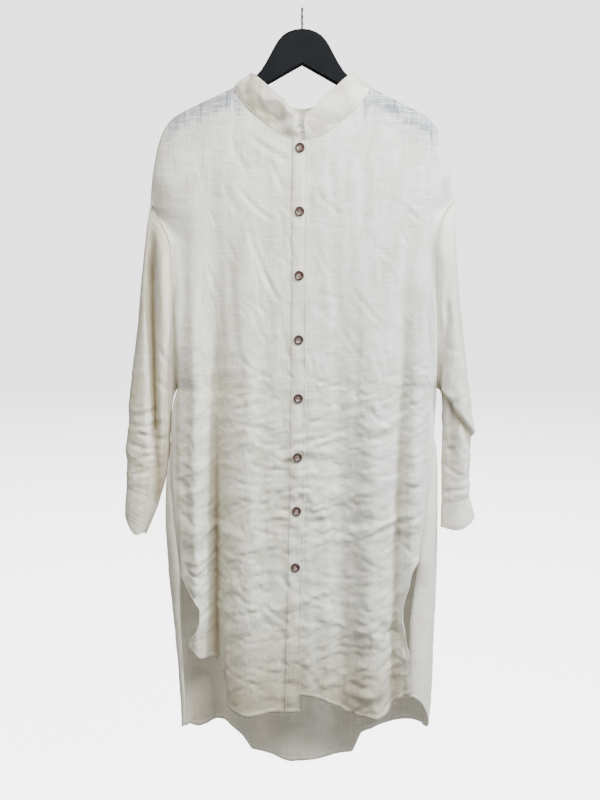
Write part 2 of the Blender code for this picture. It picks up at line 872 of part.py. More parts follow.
def wall(sheet, normals, thickness, lift, material, ends=True):
    """Closed wall around a sheet, its middle lifted along the normals."""
    outer = (lift + thickness / 2.0) * MM
    inner = (lift - thickness / 2.0) * MM
    mesh = bmesh.new()
    faces = []
    for distance in (outer, inner):
        layer = []
        for j in range(len(sheet.rows)):
            line = []
            for i in range(sheet.columns()):
                normal = normals[seam_key(sheet.rows[j][i])]
                line.append(mesh.verts.new(pulled(sheet, j, i, normal, ends) + normal * distance))
            layer.append(line)
        faces.append(layer)
    last_row = len(sheet.rows) - 1
    last_column = sheet.columns() - 1
    for layer in faces:
        for j in range(last_row):
            for i in range(sheet.cells()):
                after = (i + 1) % sheet.columns()
                a, b = layer[j][i], layer[j][after]
                c, d = layer[j + 1][after], layer[j + 1][i]
                if sheet.leans(j, i):
                    mesh.faces.new((a, b, d))
                    mesh.faces.new((b, c, d))
                else:
                    mesh.faces.new((a, b, c))
                    mesh.faces.new((a, c, d))
    for j in (0, last_row):
        for i in range(sheet.cells()):
            after = (i + 1) % sheet.columns()
            rim(mesh, faces, (j, i), (j, after))
    if not sheet.closed:
        for i in (0, last_column):
            for j in range(last_row):
                rim(mesh, faces, (j, i), (j + 1, i))
    return finish(mesh, sheet.name, material, sheet_smooth=True)


def rim(mesh, faces, first, second):
    a = faces[0][first[0]][first[1]]
    b = faces[0][second[0]][second[1]]
    c = faces[1][second[0]][second[1]]
    d = faces[1][first[0]][first[1]]
    mesh.faces.new((a, b, c))
    mesh.faces.new((a, c, d))


def finish(mesh, name, material, sheet_smooth=False):
    bmesh.ops.recalc_face_normals(mesh, faces=mesh.faces)
    data = bpy.data.meshes.new(name)
    mesh.to_mesh(data)
    mesh.free()
    for face in data.polygons:
        face.use_smooth = sheet_smooth
    data.materials.append(material)
    made = bpy.data.objects.new(name, data)
    bpy.context.scene.collection.objects.link(made)
    return made


# Trims laid on the cloth


def placket_sheet(over):
    count = len(front_fixed(RIGHT))
    rows = [[point.copy() for point in row[:count]] for row in over]
    return Sheet("placket", rows, (0, (0, -1, 0)))


def along_column(rows, column, drop):
    """Point and downward direction on one column of a panel at a given drop."""
    points = [row[column] for row in rows]
    for upper, lower in zip(points, points[1:]):
        if upper.z >= -drop * MM >= lower.z:
            share = (upper.z + drop * MM) / (upper.z - lower.z)
            return upper.lerp(lower, share), (lower - upper).normalized()
    return points[-1], (points[-1] - points[-2]).normalized()


def button(number, over, material):
    """Round button lying on the band, dished in the middle, with a thick rim."""
    centre, down = along_column(over, 1, BUTTON_DROPS[number])
    across = Vector((-1, 0, 0))
    facing = down.cross(across).normalized()
    if facing.y > 0:
        facing = -facing
    lift = CLOTH_WALL / 2.0 + LAY_GAP + PLACKET_WALL + BUTTON_STAND_OFF
    mesh = bmesh.new()
    rings = []
    for ring in BUTTON_RINGS:
        line = []
        for k in range(BUTTON_SIDES):
            angle = 2.0 * math.pi * k / BUTTON_SIDES
            line.append(mesh.verts.new((
                ring.radius * MM * math.cos(angle),
                ring.radius * MM * math.sin(angle),
                ring.height * MM,
            )))
        rings.append(line)
    back = mesh.verts.new((0.0, 0.0, BUTTON_BACK * MM))
    dish = mesh.verts.new((0.0, 0.0, BUTTON_DISH * MM))
    for k in range(BUTTON_SIDES):
        after = (k + 1) % BUTTON_SIDES
        for lower, upper in zip(rings, rings[1:]):
            mesh.faces.new((lower[k], lower[after], upper[after], upper[k]))
        mesh.faces.new((back, rings[0][after], rings[0][k]))
        mesh.faces.new((dish, rings[-1][k], rings[-1][after]))
    made = finish(mesh, f"button_{number + 1}", material, sheet_smooth=True)
    made.location = centre + facing * lift * MM
    made.rotation_euler = facing.to_track_quat("Z", "Y").to_euler()
    return made


def neck_label(collar, material):
    """Blank woven label lying against the inside of the back of the collar."""
    centre = len(collar[0]) // 2
    near = [row[centre - 1:centre + 2] for row in collar]
    heights = [k / (len(collar) - 1) for k in range(len(collar))]
    away = (COLLAR_WALL / 2.0 + LAY_GAP + LABEL_WALL / 2.0) * MM
    rows = []
    for k in range(LABEL_ROWS + 1):
        height = 1.0 - (LABEL_FOOT + (LABEL_TOP - LABEL_FOOT) * k / LABEL_ROWS)
        row = []
        for i in range(LABEL_COLUMNS + 1):
            x = LABEL_HALF_WIDTH * (2.0 * i / LABEL_COLUMNS - 1.0) * MM
            depths = [float(np.interp(x, [p.x for p in line], [p.y for p in line])) for line in near]
            drops = [float(np.interp(x, [p.x for p in line], [p.z for p in line])) for line in near]
            y = float(np.interp(height, heights, depths))
            z = float(np.interp(height, heights, drops))
            row.append(Vector((x, y - away, z)))
        rows.append(row)
    sheet = Sheet("neck_label", rows, (0, (0, -1, 0)))
    return wall(sheet, shared_normals([sheet]), LABEL_WALL, 0.0, material)


# Hanger and hook


def hanger(material):
    """Flat board with thinned edges, lofted from one arm's tip to the other."""
    stations = [(-arm.x, arm.upper, arm.lower) for arm in reversed(HANGER_ARM)]
    stations += [(arm.x, arm.upper, arm.lower) for arm in HANGER_ARM[1:]]
    mesh = bmesh.new()
    rings = []
    for x, upper, lower in stations:
        profile = (
            (-HANGER_EDGE_HALF, upper),
            (HANGER_EDGE_HALF, upper),
            (HANGER_HALF_THICK, upper + HANGER_EDGE_DROP),
            (HANGER_HALF_THICK, lower - HANGER_EDGE_DROP),
            (HANGER_EDGE_HALF, lower),
            (-HANGER_EDGE_HALF, lower),
            (-HANGER_HALF_THICK, lower - HANGER_EDGE_DROP),
            (-HANGER_HALF_THICK, upper + HANGER_EDGE_DROP),
        )
        rings.append([mesh.verts.new(place(x, y, drop)) for y, drop in profile])
    for near, far in zip(rings, rings[1:]):
        for k in range(len(near)):
            after = (k + 1) % len(near)
            mesh.faces.new((near[k], near[after], far[after], far[k]))
    mesh.faces.new(rings[0])
    mesh.faces.new(reversed(rings[-1]))
    return finish(mesh, "hanger_body", material)


def hook_path():
    """Middle of the wire: a short stem, then most of a circle, in the YZ plane."""
    wire = HOOK_WIRE / 2.0
    radius = HOOK_INSIDE + wire
    centre = Vector((0.0, 0.0, -HOOK_INSIDE))
    path = [Vector((0.0, 0.0, -HOOK_FOOT))]
    start = math.radians(-90)
    for k in range(HOOK_STEPS + 1):
        angle = start + HOOK_SWEEP * k / HOOK_STEPS
        path.append(centre + Vector((0.0, math.cos(angle) * radius, math.sin(angle) * radius)))
    return path


def hook(material):
    mesh = bmesh.new()
    path = hook_path()
    rings = []
    for k, point in enumerate(path):
        before = path[max(0, k - 1)]
        after = path[min(len(path) - 1, k + 1)]
        along = (after - before).normalized()
        side = Vector((1.0, 0.0, 0.0))
        up = along.cross(side).normalized()
        radius = HOOK_WIRE / 2.0
        if k == len(path) - 1:
            radius = HOOK_TIP_BALL
        ring = []
        for n in range(HOOK_SIDES):
            angle = 2.0 * math.pi * n / HOOK_SIDES
            offset = side * math.cos(angle) * radius + up * math.sin(angle) * radius
            ring.append(mesh.verts.new((point + offset) * MM))
        rings.append(ring)
    for near, far in zip(rings, rings[1:]):
        for n in range(HOOK_SIDES):
            after = (n + 1) % HOOK_SIDES
            mesh.faces.new((near[n], near[after], far[after], far[n]))
    mesh.faces.new(rings[0])
    mesh.faces.new(reversed(rings[-1]))
    return finish(mesh, "hanger_hook", material, sheet_smooth=True)


# The whole dress

clear_scene()

linen = {}
for piece in (
    "front_right",
    "front_left",
    "back",
    "sleeve_right",
    "sleeve_left",
    "cuff_right",
    "cuff_left",
    "collar_band",
    "placket",
):
    linen[piece] = surface(piece + "_linen", LINEN, 0.85)
label_cloth = surface("label_cloth", LABEL_GREY, 0.8)
button_shell = surface("button_shell", BUTTON_BROWN, 0.35)
hanger_paint = surface("hanger_paint", HANGER_BLACK, 0.55)
hook_steel = surface("hook_steel", STEEL, 0.3, 1.0)

front_rows = {RIGHT: front_grid(RIGHT), LEFT: front_grid(LEFT)}
back_rows = back_grid(front_rows)
sleeve_rows = {side: sleeve_grid(side, front_rows[side], back_rows) for side in (RIGHT, LEFT)}
cuff_rows = {side: cuff_grid(side, sleeve_rows[side]) for side in (RIGHT, LEFT)}
collar_rows = collar_grid(front_rows, back_rows)

forward = (0, -1, 0)
backward = (0, 1, 0)
sleeve_front = len(ARMHOLE_STEPS) // 2
pieces = [
    (Sheet("front_right", front_rows[RIGHT], (4, forward)), CLOTH_WALL),
    (Sheet("front_left", front_rows[LEFT], (4, forward)), CLOTH_WALL),
    (Sheet("back", back_rows, (len(back_rows[0]) // 2, backward)), CLOTH_WALL),
    (Sheet("sleeve_right", sleeve_rows[RIGHT], (sleeve_front, forward), True), CLOTH_WALL),
    (Sheet("sleeve_left", sleeve_rows[LEFT], (sleeve_front, forward), True), CLOTH_WALL),
    (Sheet("cuff_right", cuff_rows[RIGHT], (sleeve_front, forward), True), CUFF_WALL),
    (Sheet("cuff_left", cuff_rows[LEFT], (sleeve_front, forward), True), CUFF_WALL),
    (Sheet("collar_band", collar_rows, (1, forward)), COLLAR_WALL),
]
normals_here = shared_normals([sheet for sheet, thickness in pieces])
for sheet, thickness in pieces:
    wall(sheet, normals_here, thickness, 0.0, linen[sheet.name])

placket_lift = CLOTH_WALL / 2.0 + LAY_GAP + PLACKET_WALL / 2.0
wall(placket_sheet(front_rows[RIGHT]), normals_here, PLACKET_WALL, placket_lift, linen["placket"])
for index in range(len(BUTTON_DROPS)):
    button(index, front_rows[RIGHT], button_shell)
neck_label(collar_rows, label_cloth)
hanger(hanger_paint)
hook(hook_steel)
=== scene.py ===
import math

import bmesh
import bpy
import numpy as np
from mathutils import Matrix, Vector


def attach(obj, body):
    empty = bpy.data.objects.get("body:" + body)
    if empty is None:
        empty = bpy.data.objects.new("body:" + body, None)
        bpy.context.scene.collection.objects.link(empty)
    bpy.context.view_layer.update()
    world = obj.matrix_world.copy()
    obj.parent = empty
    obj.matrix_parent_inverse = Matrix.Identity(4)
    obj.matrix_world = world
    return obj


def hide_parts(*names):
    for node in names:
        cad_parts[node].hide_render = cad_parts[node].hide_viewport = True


# A long linen shirt dress on a flat hanger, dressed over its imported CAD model.
# +X is to the viewer's right, the front faces -Y and +Z is up. Tables are in millimetres, and
# "drop" is the distance below the top of the hook's inside. Right and left are the wearer's.

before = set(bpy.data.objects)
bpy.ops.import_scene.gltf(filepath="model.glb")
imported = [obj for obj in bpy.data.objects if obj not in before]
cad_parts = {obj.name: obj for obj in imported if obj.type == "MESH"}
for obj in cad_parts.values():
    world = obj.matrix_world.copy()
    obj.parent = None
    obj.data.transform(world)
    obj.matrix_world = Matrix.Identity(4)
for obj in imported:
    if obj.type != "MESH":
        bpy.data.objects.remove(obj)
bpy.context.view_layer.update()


# Camera, room and light: the camera stands where the photographer stood, level with the chest,
# and looks down nine degrees. The room is a pale floor under a pale sky, with one large soft
# light from the upper right and a weak one from the left.

EYE_PLACE = (-0.0033, -1.6, -0.3643)
EYE_PITCH = math.radians(81.0)
EYE_LENS = 43.875
FLOOR_DROP = 1.75
FLOOR_HALF = 80.0
SEEN_SKY = 2.7
# Camera-only glow of the floor near the middle and far out: painted light falling off across it
FLOOR_GLOW = (5.6, 2.62)

eye = bpy.data.cameras.new("eye")
eye.lens = EYE_LENS
eye.sensor_width = 36.0
viewer = bpy.data.objects.new("viewer", eye)
viewer.location = EYE_PLACE
viewer.rotation_euler = (EYE_PITCH, 0.0, 0.0)
bpy.context.scene.collection.objects.link(viewer)
bpy.context.scene.camera = viewer


def feed(tree, node, **inputs):
    """Inputs of a node, linked or set; _0, _1 go by number."""
    for key, value in inputs.items():
        socket = node.inputs[int(key[1:]) if key[0] == "_" else key.replace("_", " ")]
        if isinstance(value, bpy.types.NodeSocket):
            tree.links.new(value, socket)
        else:
            socket.default_value = value


def add(tree, kind, settings=None, **inputs):
    """Shader node with its settings and inputs."""
    made = tree.nodes.new("ShaderNode" + kind)
    for key, value in (settings or {}).items():
        setattr(made, key, value)
    feed(tree, made, **inputs)
    return made


def start_material(name):
    made = bpy.data.materials.new(name)
    made.use_nodes = True
    return made, made.node_tree, made.node_tree.nodes["Principled BSDF"]


def light(name, place, target, size, power, colour):
    lamp = bpy.data.lights.new(name, "AREA")
    lamp.shape = "RECTANGLE"
    lamp.size, lamp.size_y = size
    lamp.energy = power
    lamp.color = colour
    held = bpy.data.objects.new(name, lamp)
    held.location = place
    held.rotation_euler = (Vector(target) - Vector(place)).to_track_quat("-Z", "Y").to_euler()
    bpy.context.scene.collection.objects.link(held)


light("key_light", (0.75, -1.5, 1.25), (0.0, 0.0, -0.4), (0.8, 0.8), 92.0, (1.0, 0.985, 0.95))
light("side_light", (2.0, -1.0, 1.0), (0.0, 0.0, -0.4), (0.6, 1.0), 112.0, (0.84, 0.93, 1.0))
light("fill_light", (-1.6, -1.7, 1.1), (0.0, 0.0, -0.4), (1.0, 1.2), 26.0, (1.0, 0.95, 0.87))
light("back_light", (-0.4, 2.2, 1.2), (0.0, 0.0, -0.6), (1.4, 1.4), 50.0, (1.0, 0.99, 0.97))

sky = bpy.data.worlds.new("pale_sky")
bpy.context.scene.world = sky
sky.use_nodes = True
sky_tree = sky.node_tree
seen_sky = add(sky_tree, "Background", Color=(1.0, 1.0, 1.0, 1.0), Strength=SEEN_SKY)
cast_sky = add(sky_tree, "Background", Color=(1.0, 0.99, 0.97, 1.0), Strength=0.15)
path = add(sky_tree, "LightPath")
both = add(sky_tree, "MixShader", _0=path.outputs["Is Camera Ray"])
sky_tree.links.new(cast_sky.outputs[0], both.inputs[1])
sky_tree.links.new(seen_sky.outputs[0], both.inputs[2])
sky_tree.links.new(both.outputs[0], sky_tree.nodes["World Output"].inputs["Surface"])

floor_bm = bmesh.new()
bmesh.ops.create_grid(floor_bm, x_segments=1, y_segments=1, size=FLOOR_HALF)
bmesh.ops.translate(floor_bm, vec=(0.0, 0.0, -FLOOR_DROP), verts=floor_bm.verts)
floor_mesh = bpy.data.meshes.new("floor")
floor_bm.to_mesh(floor_mesh)
floor_bm.free()
floor_paint, floor_tree, floor_shader = start_material("floor_paint")
floor_place = add(floor_tree, "TexCoord")
floor_mottle = add(floor_tree, "TexNoise", Vector=floor_place.outputs["Object"], Scale=0.6, Detail=3.0)
floor_tone = add(
    floor_tree, "Mix", {"data_type": "RGBA"}, _0=floor_mottle.outputs[0],
    _6=(0.30, 0.30, 0.29, 1.0), _7=(0.34, 0.34, 0.33, 1.0),
)
# Painted light: seen only by the camera, the floor glows brightest near the middle and fades outwards,
# standing in for light falling off across it
floor_seen = add(floor_tree, "LightPath")
floor_far = add(floor_tree, "VectorMath", {"operation": "LENGTH"}, _0=floor_place.outputs["Object"])
floor_fade = add(
    floor_tree, "MapRange", {"clamp": True, "interpolation_type": "SMOOTHSTEP"},
    _0=floor_far.outputs["Value"], _1=0.0, _2=9.0, _3=FLOOR_GLOW[0], _4=FLOOR_GLOW[1],
)
floor_glow = add(
    floor_tree, "Math", {"operation": "MULTIPLY"},
    _0=floor_seen.outputs["Is Camera Ray"], _1=floor_fade.outputs[0],
)
feed(
    floor_tree, floor_shader, Base_Color=floor_tone.outputs[2], Roughness=1.0,
    Specular_IOR_Level=0.0, Emission_Color=(1.0, 1.0, 1.0, 1.0),
    Emission_Strength=floor_glow.outputs[0],
)
floor_mesh.materials.append(floor_paint)
floor = bpy.data.objects.new("floor", floor_mesh)
bpy.context.scene.collection.objects.link(floor)


# Right front: the half that laps over. Plain-woven linen cut in one piece from the neck to a
# curved hem, sewn to the back over the shoulder and down the side to a slit, with narrow
# turned hems along the slit and the bottom. Long soft folds hang down it, crushed lower down.

RIGHT, LEFT = -1, 1
SHOULDER_REACH = 245.0
NECK_REACH = 109.0
UNDERARM = 597.0
SLIT = {RIGHT: 905.0, LEFT: 881.0}
HEM_PROBE = 1100.0
CLOTH = 0.9
SEAM_GAP = 0.22
PANEL_COLUMNS = 122
PANEL_ROWS = (185, 104, 90)
# Columns are spaced evenly at one drop, past a middle part that is nearly flat
FINE_STEPS = 4000
SPACING_DROP = 640.0
FLAT_HALF = 60.0
# Where the long folds shift sideways: from below the collar down to the hem
FOLD_TOP = 200.0
FOLD_LENGTH = 950.0
# Relief dies out towards a seam and under a button; hems and slit edges are turned in
SEAM_CALM = 22.0
BUTTON_RADIUS = 6.0
BUTTON_CALM = 9.0
HEM_TURNED = 8.0
EDGE_TURNED = 7.0
TURNED_RUN = 1.5


def table(columns, *rows):
    """Named columns of a short table of sizes."""
    return dict(zip(columns.split(), np.array(rows, float).T))


# Neck seam, then shoulder line out to the top of the sleeve seam
NECKLINE = table(
    "x front back",
    (0, 202, 183), (8, 202, 183), (20, 198, 182), (40, 189, 178),
    (62, 172, 167), (85, 153, 150), (100, 134, 132), (109, 118, 118),
)
SHOULDERS = table(
    "x right left",
    (109, 118, 118), (166, 144, 146), (198, 160, 163), (207, 167, 172),
    (216, 177, 184), (228, 203, 220), (239, 252, 262), (245, 306, 290),
)
# Armhole: how far out it runs, and how far front and back stand apart
ARMHOLES = {
    RIGHT: table(
        "drop reach half_depth",
        (118, 245, 0), (306, 245, 0), (313, 239, 4), (322, 230, 10), (335, 221, 18),
        (350, 213, 25), (364, 209, 30), (440, 206, 33), (517, 206, 28), (570, 205, 15),
        (597, 205, 0),
    ),
    LEFT: table(
        "drop reach half_depth",
        (118, 245, 0), (290, 245, 0), (297, 240, 4), (306, 232, 10), (318, 225, 18),
        (332, 220, 25), (371, 215, 32), (440, 215, 33), (520, 218, 28), (570, 221, 15),
        (597, 222, 0),
    ),
}
# Side below the underarm: seam, outline, and how far forward of the middle the seam hangs
SIDES = {
    RIGHT: table(
        "drop seam outline lead",
        (597, 205, 205, 0), (620, 212, 212, 3), (640, 215, 216, 6), (660, 216, 218, 8),
        (712, 217, 221, 14), (735, 217, 224, 17), (752, 216, 228, 20), (815, 211, 231, 28),
        (905, 203, 228, 31), (1056, 199, 216, 34), (1200, 197, 209, 34),
    ),
    LEFT: table(
        "drop seam outline lead",
        (597, 222, 222, 0), (660, 219, 222, 8), (730, 216, 227, 18), (776, 207, 228, 24),
        (812, 203, 229, 28), (881, 195, 230, 32), (1001, 190, 228, 36), (1148, 190, 225, 36),
        (1200, 192, 221, 36),
    ),
}
# Free edge of the front below the slit, then the curved hem from the middle outward
SLIT_EDGES = {
    RIGHT: table(
        "drop shift",
        (905, 0), (932, -12), (954, -25), (967, -30), (985, -29), (1007, -22), (1023, -12),
        (1032, -10), (1060, -11),
    ),
    LEFT: table(
        "drop shift",
        (881, 0), (902, -11), (928, -15), (950, -20), (976, -22), (1016, -16), (1056, -9),
        (1097, -6), (1120, -5),
    ),
}
FRONT_HEMS = {
    RIGHT: table(
        "x drop",
        (-10, 1147), (29, 1146), (54, 1146), (71, 1150), (92, 1153), (117, 1146),
        (129, 1134), (133, 1100), (137, 1082), (150, 1068), (166, 1054), (178, 1043), (190, 1030),
        (200, 1024),
    ),
    LEFT: table(
        "x drop",
        (-20, 1116), (12, 1119), (30, 1126), (47, 1134), (81, 1149), (98, 1152),
        (126, 1156), (138, 1152), (149, 1142), (162, 1128), (176, 1117), (190, 1112),
    ),
}
# Depth of the hanging body at its middle, and how square its section is
DEPTHS = table(
    "drop front back square",
    (60, 40, 50, 4.0), (300, 42, 52, 4.0), (600, 43, 50, 3.4),
    (900, 46, 48, 3.0), (1160, 50, 46, 2.8), (1290, 50, 42, 2.8),
)
# Middle of the button band, and each front's free edge and its stiffened width
BUTTON_DROPS = (213, 311, 411, 513, 608, 705, 795, 891)
BAND_LINE = table("drop x", (200, -3), (480, -5), (700, -7), (900, -11), (1160, -17))
FREE_EDGE = {RIGHT: 12.0, LEFT: -10.0}
STIFFENED = {RIGHT: 24.0, LEFT: 18.0}
UNDERLAP_STEP = 3.4
UNDERLAP_RUN = 46.0
# Hanging folds: ridges (+) and valleys (-), where they begin and where they are full
FRONT_FOLDS = table(
    "x_top x_hem width push begins full",
    (-139, -150, 13, -37, 400, 880), (-127, -134, 25, -8, 240, 760),
    (-141, -141, 12, -3, 190, 360), (-173, -176, 12, 9, 230, 700),
    (-96, -100, 20, 5, 500, 1000), (-48, -62, 26, 4, 600, 1150),
    (60, 68, 25, -12, 230, 900), (34, 28, 16, -3, 620, 1120),
    (118, 116, 22, 10, 240, 900), (168, 154, 11, -14, 230, 850),
    (190, 184, 13, 5, 260, 800), (-62, -58, 14, -1.8, 250, 450),
    (-88, -84, 12, 1.5, 260, 470), (14, 12, 9, 1.6, 260, 700),
    (-30, -32, 8, -1.5, 300, 900), (88, 88, 8, -1.6, 260, 700),
)
# Creases that catch the eye: from and to, width, depth (a ridge where it is below nothing), bow
FRONT_CREASES = table(
    "x0 d0 x1 d1 width depth bow",
    (-78, 200, -24, 233, 5, 1.3, 2), (-112, 198, -89, 248, 5, 1.0, 3),
    (-50, 233, -32, 274, 4, 0.9, 1), (-123, 268, -102, 314, 5, 0.9, 2),
    (-97, 281, -50, 325, 4, 1.1, 3), (-87, 335, -46, 439, 4, 1.2, 4),
    (-114, 387, -103, 546, 6, 1.2, 3), (-146, 407, -138, 439, 5, 0.9, 1),
    (-62, 407, -40, 450, 4, 1.0, 1), (-78, 470, -62, 513, 4, 0.9, 2),
    (-35, 492, -19, 546, 4, 0.9, 1), (-100, 546, -52, 578, 4, 1.1, 3),
    (23, 283, 64, 320, 4, 0.9, 2), (43, 233, 54, 325, 6, 1.1, 2),
    (44, 325, 57, 492, 8, 1.3, 3), (94, 207, 105, 439, 8, 1.2, 3),
    (81, 434, 129, 492, 4, 0.9, 2), (23, 366, 44, 407, 4, 0.8, 1),
    (23, 439, 65, 450, 4, 0.8, 2), (16, 578, 66, 591, 4, 1.0, 2),
    (65, 502, 98, 546, 4, 0.8, 2), (118, 366, 144, 387, 4, 0.7, 1),
    (-116, 627, -68, 616, 4, 1.2, 3), (-112, 648, -80, 655, 3.5, 1.1, 2),
    (-90, 671, -41, 688, 4, 1.3, 4), (8, 647, 58, 648, 3.5, 1.5, 2),
    (13, 678, 50, 671, 3.5, 1.1, 2), (-80, 721, -25, 731, 4, 1.4, 3),
    (-118, 744, -69, 755, 4, 1.4, 3), (29, 748, 79, 760, 4, 1.3, 3),
    (-107, 777, -53, 785, 4, 1.4, 3), (8, 800, 54, 795, 4, 1.3, 2),
    (-81, 828, -25, 839, 4, 1.4, 4), (51, 833, 88, 840, 4, 1.2, 2),
    (-119, 874, -64, 862, 4, 1.4, 4), (-50, 788, -15, 797, 3.5, 1.2, 2),
    (-206, 782, -163, 794, 4, 1.2, 2), (-198, 805, -166, 828, 4, 1.3, 2),
    (-196, 839, -163, 836, 4, 1.3, 2), (-194, 893, -161, 888, 4, 1.4, 2),
    (-192, 899, -165, 914, 4, 1.3, 2), (83, 693, 132, 712, 4, 1.2, 3),
    (100, 726, 138, 738, 4, 1.2, 2), (167, 665, 194, 660, 4, 1.2, 2),
    (176, 710, 200, 703, 4, 1.2, 2), (172, 755, 204, 760, 4, 1.3, 2),
    (166, 784, 200, 789, 4, 1.3, 2), (156, 848, 192, 875, 4, 1.6, 2),
    (158, 816, 189, 828, 4, 1.4, 2), (97, 954, 122, 989, 5, 1.5, 3),
    (52, 1026, 100, 1012, 4, 1.3, 3), (86, 1048, 153, 1035, 4, 1.5, 4),
    (8, 943, 55, 961, 4, 1.4, 3), (-115, 938, -67, 960, 4, 1.4, 4),
    (-112, 978, -62, 960, 4, 1.3, 3), (-65, 954, -23, 991, 4, 1.5, 4),
    (30, 908, 85, 917, 4, 1.4, 3), (96, 874, 141, 899, 4, 1.4, 3),
    (8, 1072, 31, 1108, 5, 1.3, 2), (52, 1084, 120, 1108, 5, 1.5, 5),
    (-93, 1024, -37, 1013, 4, 1.4, 4), (-83, 1066, -26, 1078, 4, 1.3, 4),
    (-113, 1084, -66, 1096, 4, 1.3, 3), (125, 954, 158, 931, 4, 1.3, 3),
    (119, 1001, 165, 1013, 4, 1.3, 3), (-36, 908, -15, 931, 4, 1.3, 2),
)


def ease(value):
    value = np.clip(value, 0.0, 1.0)
    return value * value * (3.0 - 2.0 * value)


def follow(rows, key, value, at):
    """Smooth curve through one column of a table, level beyond its ends."""
    x, y = rows[key], rows[value]
    width = np.diff(x)
    rise = np.diff(y) / width
    slope = np.zeros(len(x))
    slope[0], slope[-1] = rise[0], rise[-1]
    same = rise[:-1] * rise[1:] > 0.0
    total = np.where(same, rise[:-1] + rise[1:], 1.0)
    slope[1:-1] = np.where(same, 2.0 * rise[:-1] * rise[1:] / total, 0.0)
    at = np.clip(at, x[0], x[-1])
    i = np.clip(np.searchsorted(x, at, side="right") - 1, 0, len(width) - 1)
    t = (at - x[i]) / width[i]
    rest = 1.0 - t
    return (
        y[i] * rest * rest * (1.0 + 2.0 * t)
        + y[i + 1] * t * t * (3.0 - 2.0 * t)
        + slope[i] * width[i] * t * rest * rest
        - slope[i + 1] * width[i] * t * t * rest
    )


def top_line(side, x, face):
    """Drop of the neck seam or the shoulder line at a distance from the middle."""
    shoulder = follow(SHOULDERS, "x", "right" if side == RIGHT else "left", abs(x))
    return np.where(abs(x) < NECK_REACH, follow(NECKLINE, "x", face, abs(x)), shoulder)


def spread(side, x_top, drop):
    """How far the cloth has moved out from the line where it lies over the hanger."""
    over_neck = SHOULDERS["right"][0] - (NECK_REACH - abs(x_top)) * 0.5
    ridge = np.where(abs(x_top) < NECK_REACH, over_neck, top_line(side, x_top, "front"))
    below = np.maximum(0.0, drop - ridge)
    return 0.22 * (1.0 - np.exp(-below / 4.0)) + 0.78 * (1.0 - np.exp(-below / 120.0))


def half_section(share, edge, middle, square):
    share = np.clip(abs(share), 0.0, 1.0)
    return edge + (middle - edge) * (1.0 - share ** square) ** (1.0 / square)


def reach(side, drop):
    """Half width at the armhole or side seam."""
    above = follow(ARMHOLES[side], "drop", "reach", drop)
    return np.where(drop < UNDERARM, above, follow(SIDES[side], "drop", "seam", drop))


def side_lead(side, drop):
    above = follow(ARMHOLES[side], "drop", "half_depth", drop)
    return np.where(drop < UNDERARM, above, follow(SIDES[side], "drop", "lead", drop))


def lead_share(section, drop):
    """Share of the side's lead felt across the body: beside the armhole only near its edge."""
    whole = ease((drop - 450.0) / 140.0)
    return whole + (1.0 - whole) * np.clip(section, 0.0, 1.0) ** 6


def edge_rise(side, x, drop):
    """How much of its depth the cloth has gained at a distance from the armhole's edge."""
    soft = 16.0 * ease((drop - 240.0) / 60.0) * ease((470.0 - drop) / 130.0) + 0.6
    return 1.0 - np.exp(-np.maximum(reach(side, drop) - abs(x), 0.0) / soft)


def across_panel(side, share, drop, start):
    """Distance across at a share of the way from the panel's start to its side."""
    end = side * reach(side, drop)
    eased = ease((drop - 180.0) / (UNDERARM - 180.0))
    easy = side * (SHOULDER_REACH + (reach(side, np.array(UNDERARM)) - SHOULDER_REACH) * eased)
    above = start + (easy - start) * share + (end - easy) * share ** 3
    return np.where(drop < UNDERARM, above, start + (end - start) * share)


def beside_fold(x_top, x_low, width, x, drop, top=FOLD_TOP, length=FOLD_LENGTH):
    """Nearness to a long fold, 1 on its line, which shifts from x_top to x_low on its way down."""
    middle = x_top + (x_low - x_top) * ease((drop - top) / length)
    return np.exp(-(((x - middle) / width) ** 2))


def hanging_folds(folds, x, drop):
    """Outward push of all the long folds."""
    push = np.zeros(np.broadcast(x, drop).shape)
    for x_top, x_hem, width, out, begins, full in zip(*folds.values()):
        grown = ease((drop - begins) / (full - begins))
        push += out * grown * beside_fold(x_top, x_hem, width, x, drop)
    return push


def free_edge(side):
    """Distance across at the top of a front's free edge."""
    return side * (BAND_LINE["x"][0] + FREE_EDGE[side])


def front_place(side, x_top, drop):
    """Across and forward position of a front at a place on its top line and a drop."""
    edge = follow(BAND_LINE, "drop", "x", drop) + FREE_EDGE[side]
    free_top = free_edge(side)
    fixed = STIFFENED[side]
    from_edge = x_top - free_top
    share = np.clip((from_edge - fixed) / (SHOULDER_REACH - free_top - fixed), 0.0, 1.0)
    x = across_panel(side, share, drop, edge + side * fixed)
    x = x + side * follow(SLIT_EDGES[side], "drop", "shift", drop) * share ** 6
    x = np.where(from_edge < fixed, edge + side * from_edge, x)
    section = np.where(share >= 1.0, 1.0, abs(x) / reach(side, drop))
    lead = side_lead(side, drop) * lead_share(section, drop)
    middle = follow(DEPTHS, "drop", "front", drop) - lead
    square = follow(DEPTHS, "drop", "square", drop)
    risen = spread(side, x_top, drop) * np.where(drop < UNDERARM, edge_rise(side, x, drop), 1.0)
    depth = lead + half_section(section, 0.0, middle, square) * risen
    push = hanging_folds(FRONT_FOLDS, x, drop)
    held = np.where(drop < SLIT[side], np.clip((1.0 - share) / 0.1, 0.0, 1.0), 1.0)
    depth = depth + push * held
    if side == LEFT:
        depth = depth - UNDERLAP_STEP * ease((UNDERLAP_RUN - x) / UNDERLAP_RUN)
    return x, -depth


def panel_levels(rows):
    """Rows of a body panel: 0 to 1 down the armhole, to 2 at the slit, to 3 at the hem."""
    upper, middle, lower = rows
    near_top = 0.03 * np.linspace(0.0, 1.0, 10)[:-1] ** 1.6
    return np.concatenate((
        near_top,
        np.linspace(0.03, 1.0, upper, endpoint=False),
        np.linspace(1.0, 2.0, middle, endpoint=False),
        np.linspace(2.0, 3.0, lower),
    ))


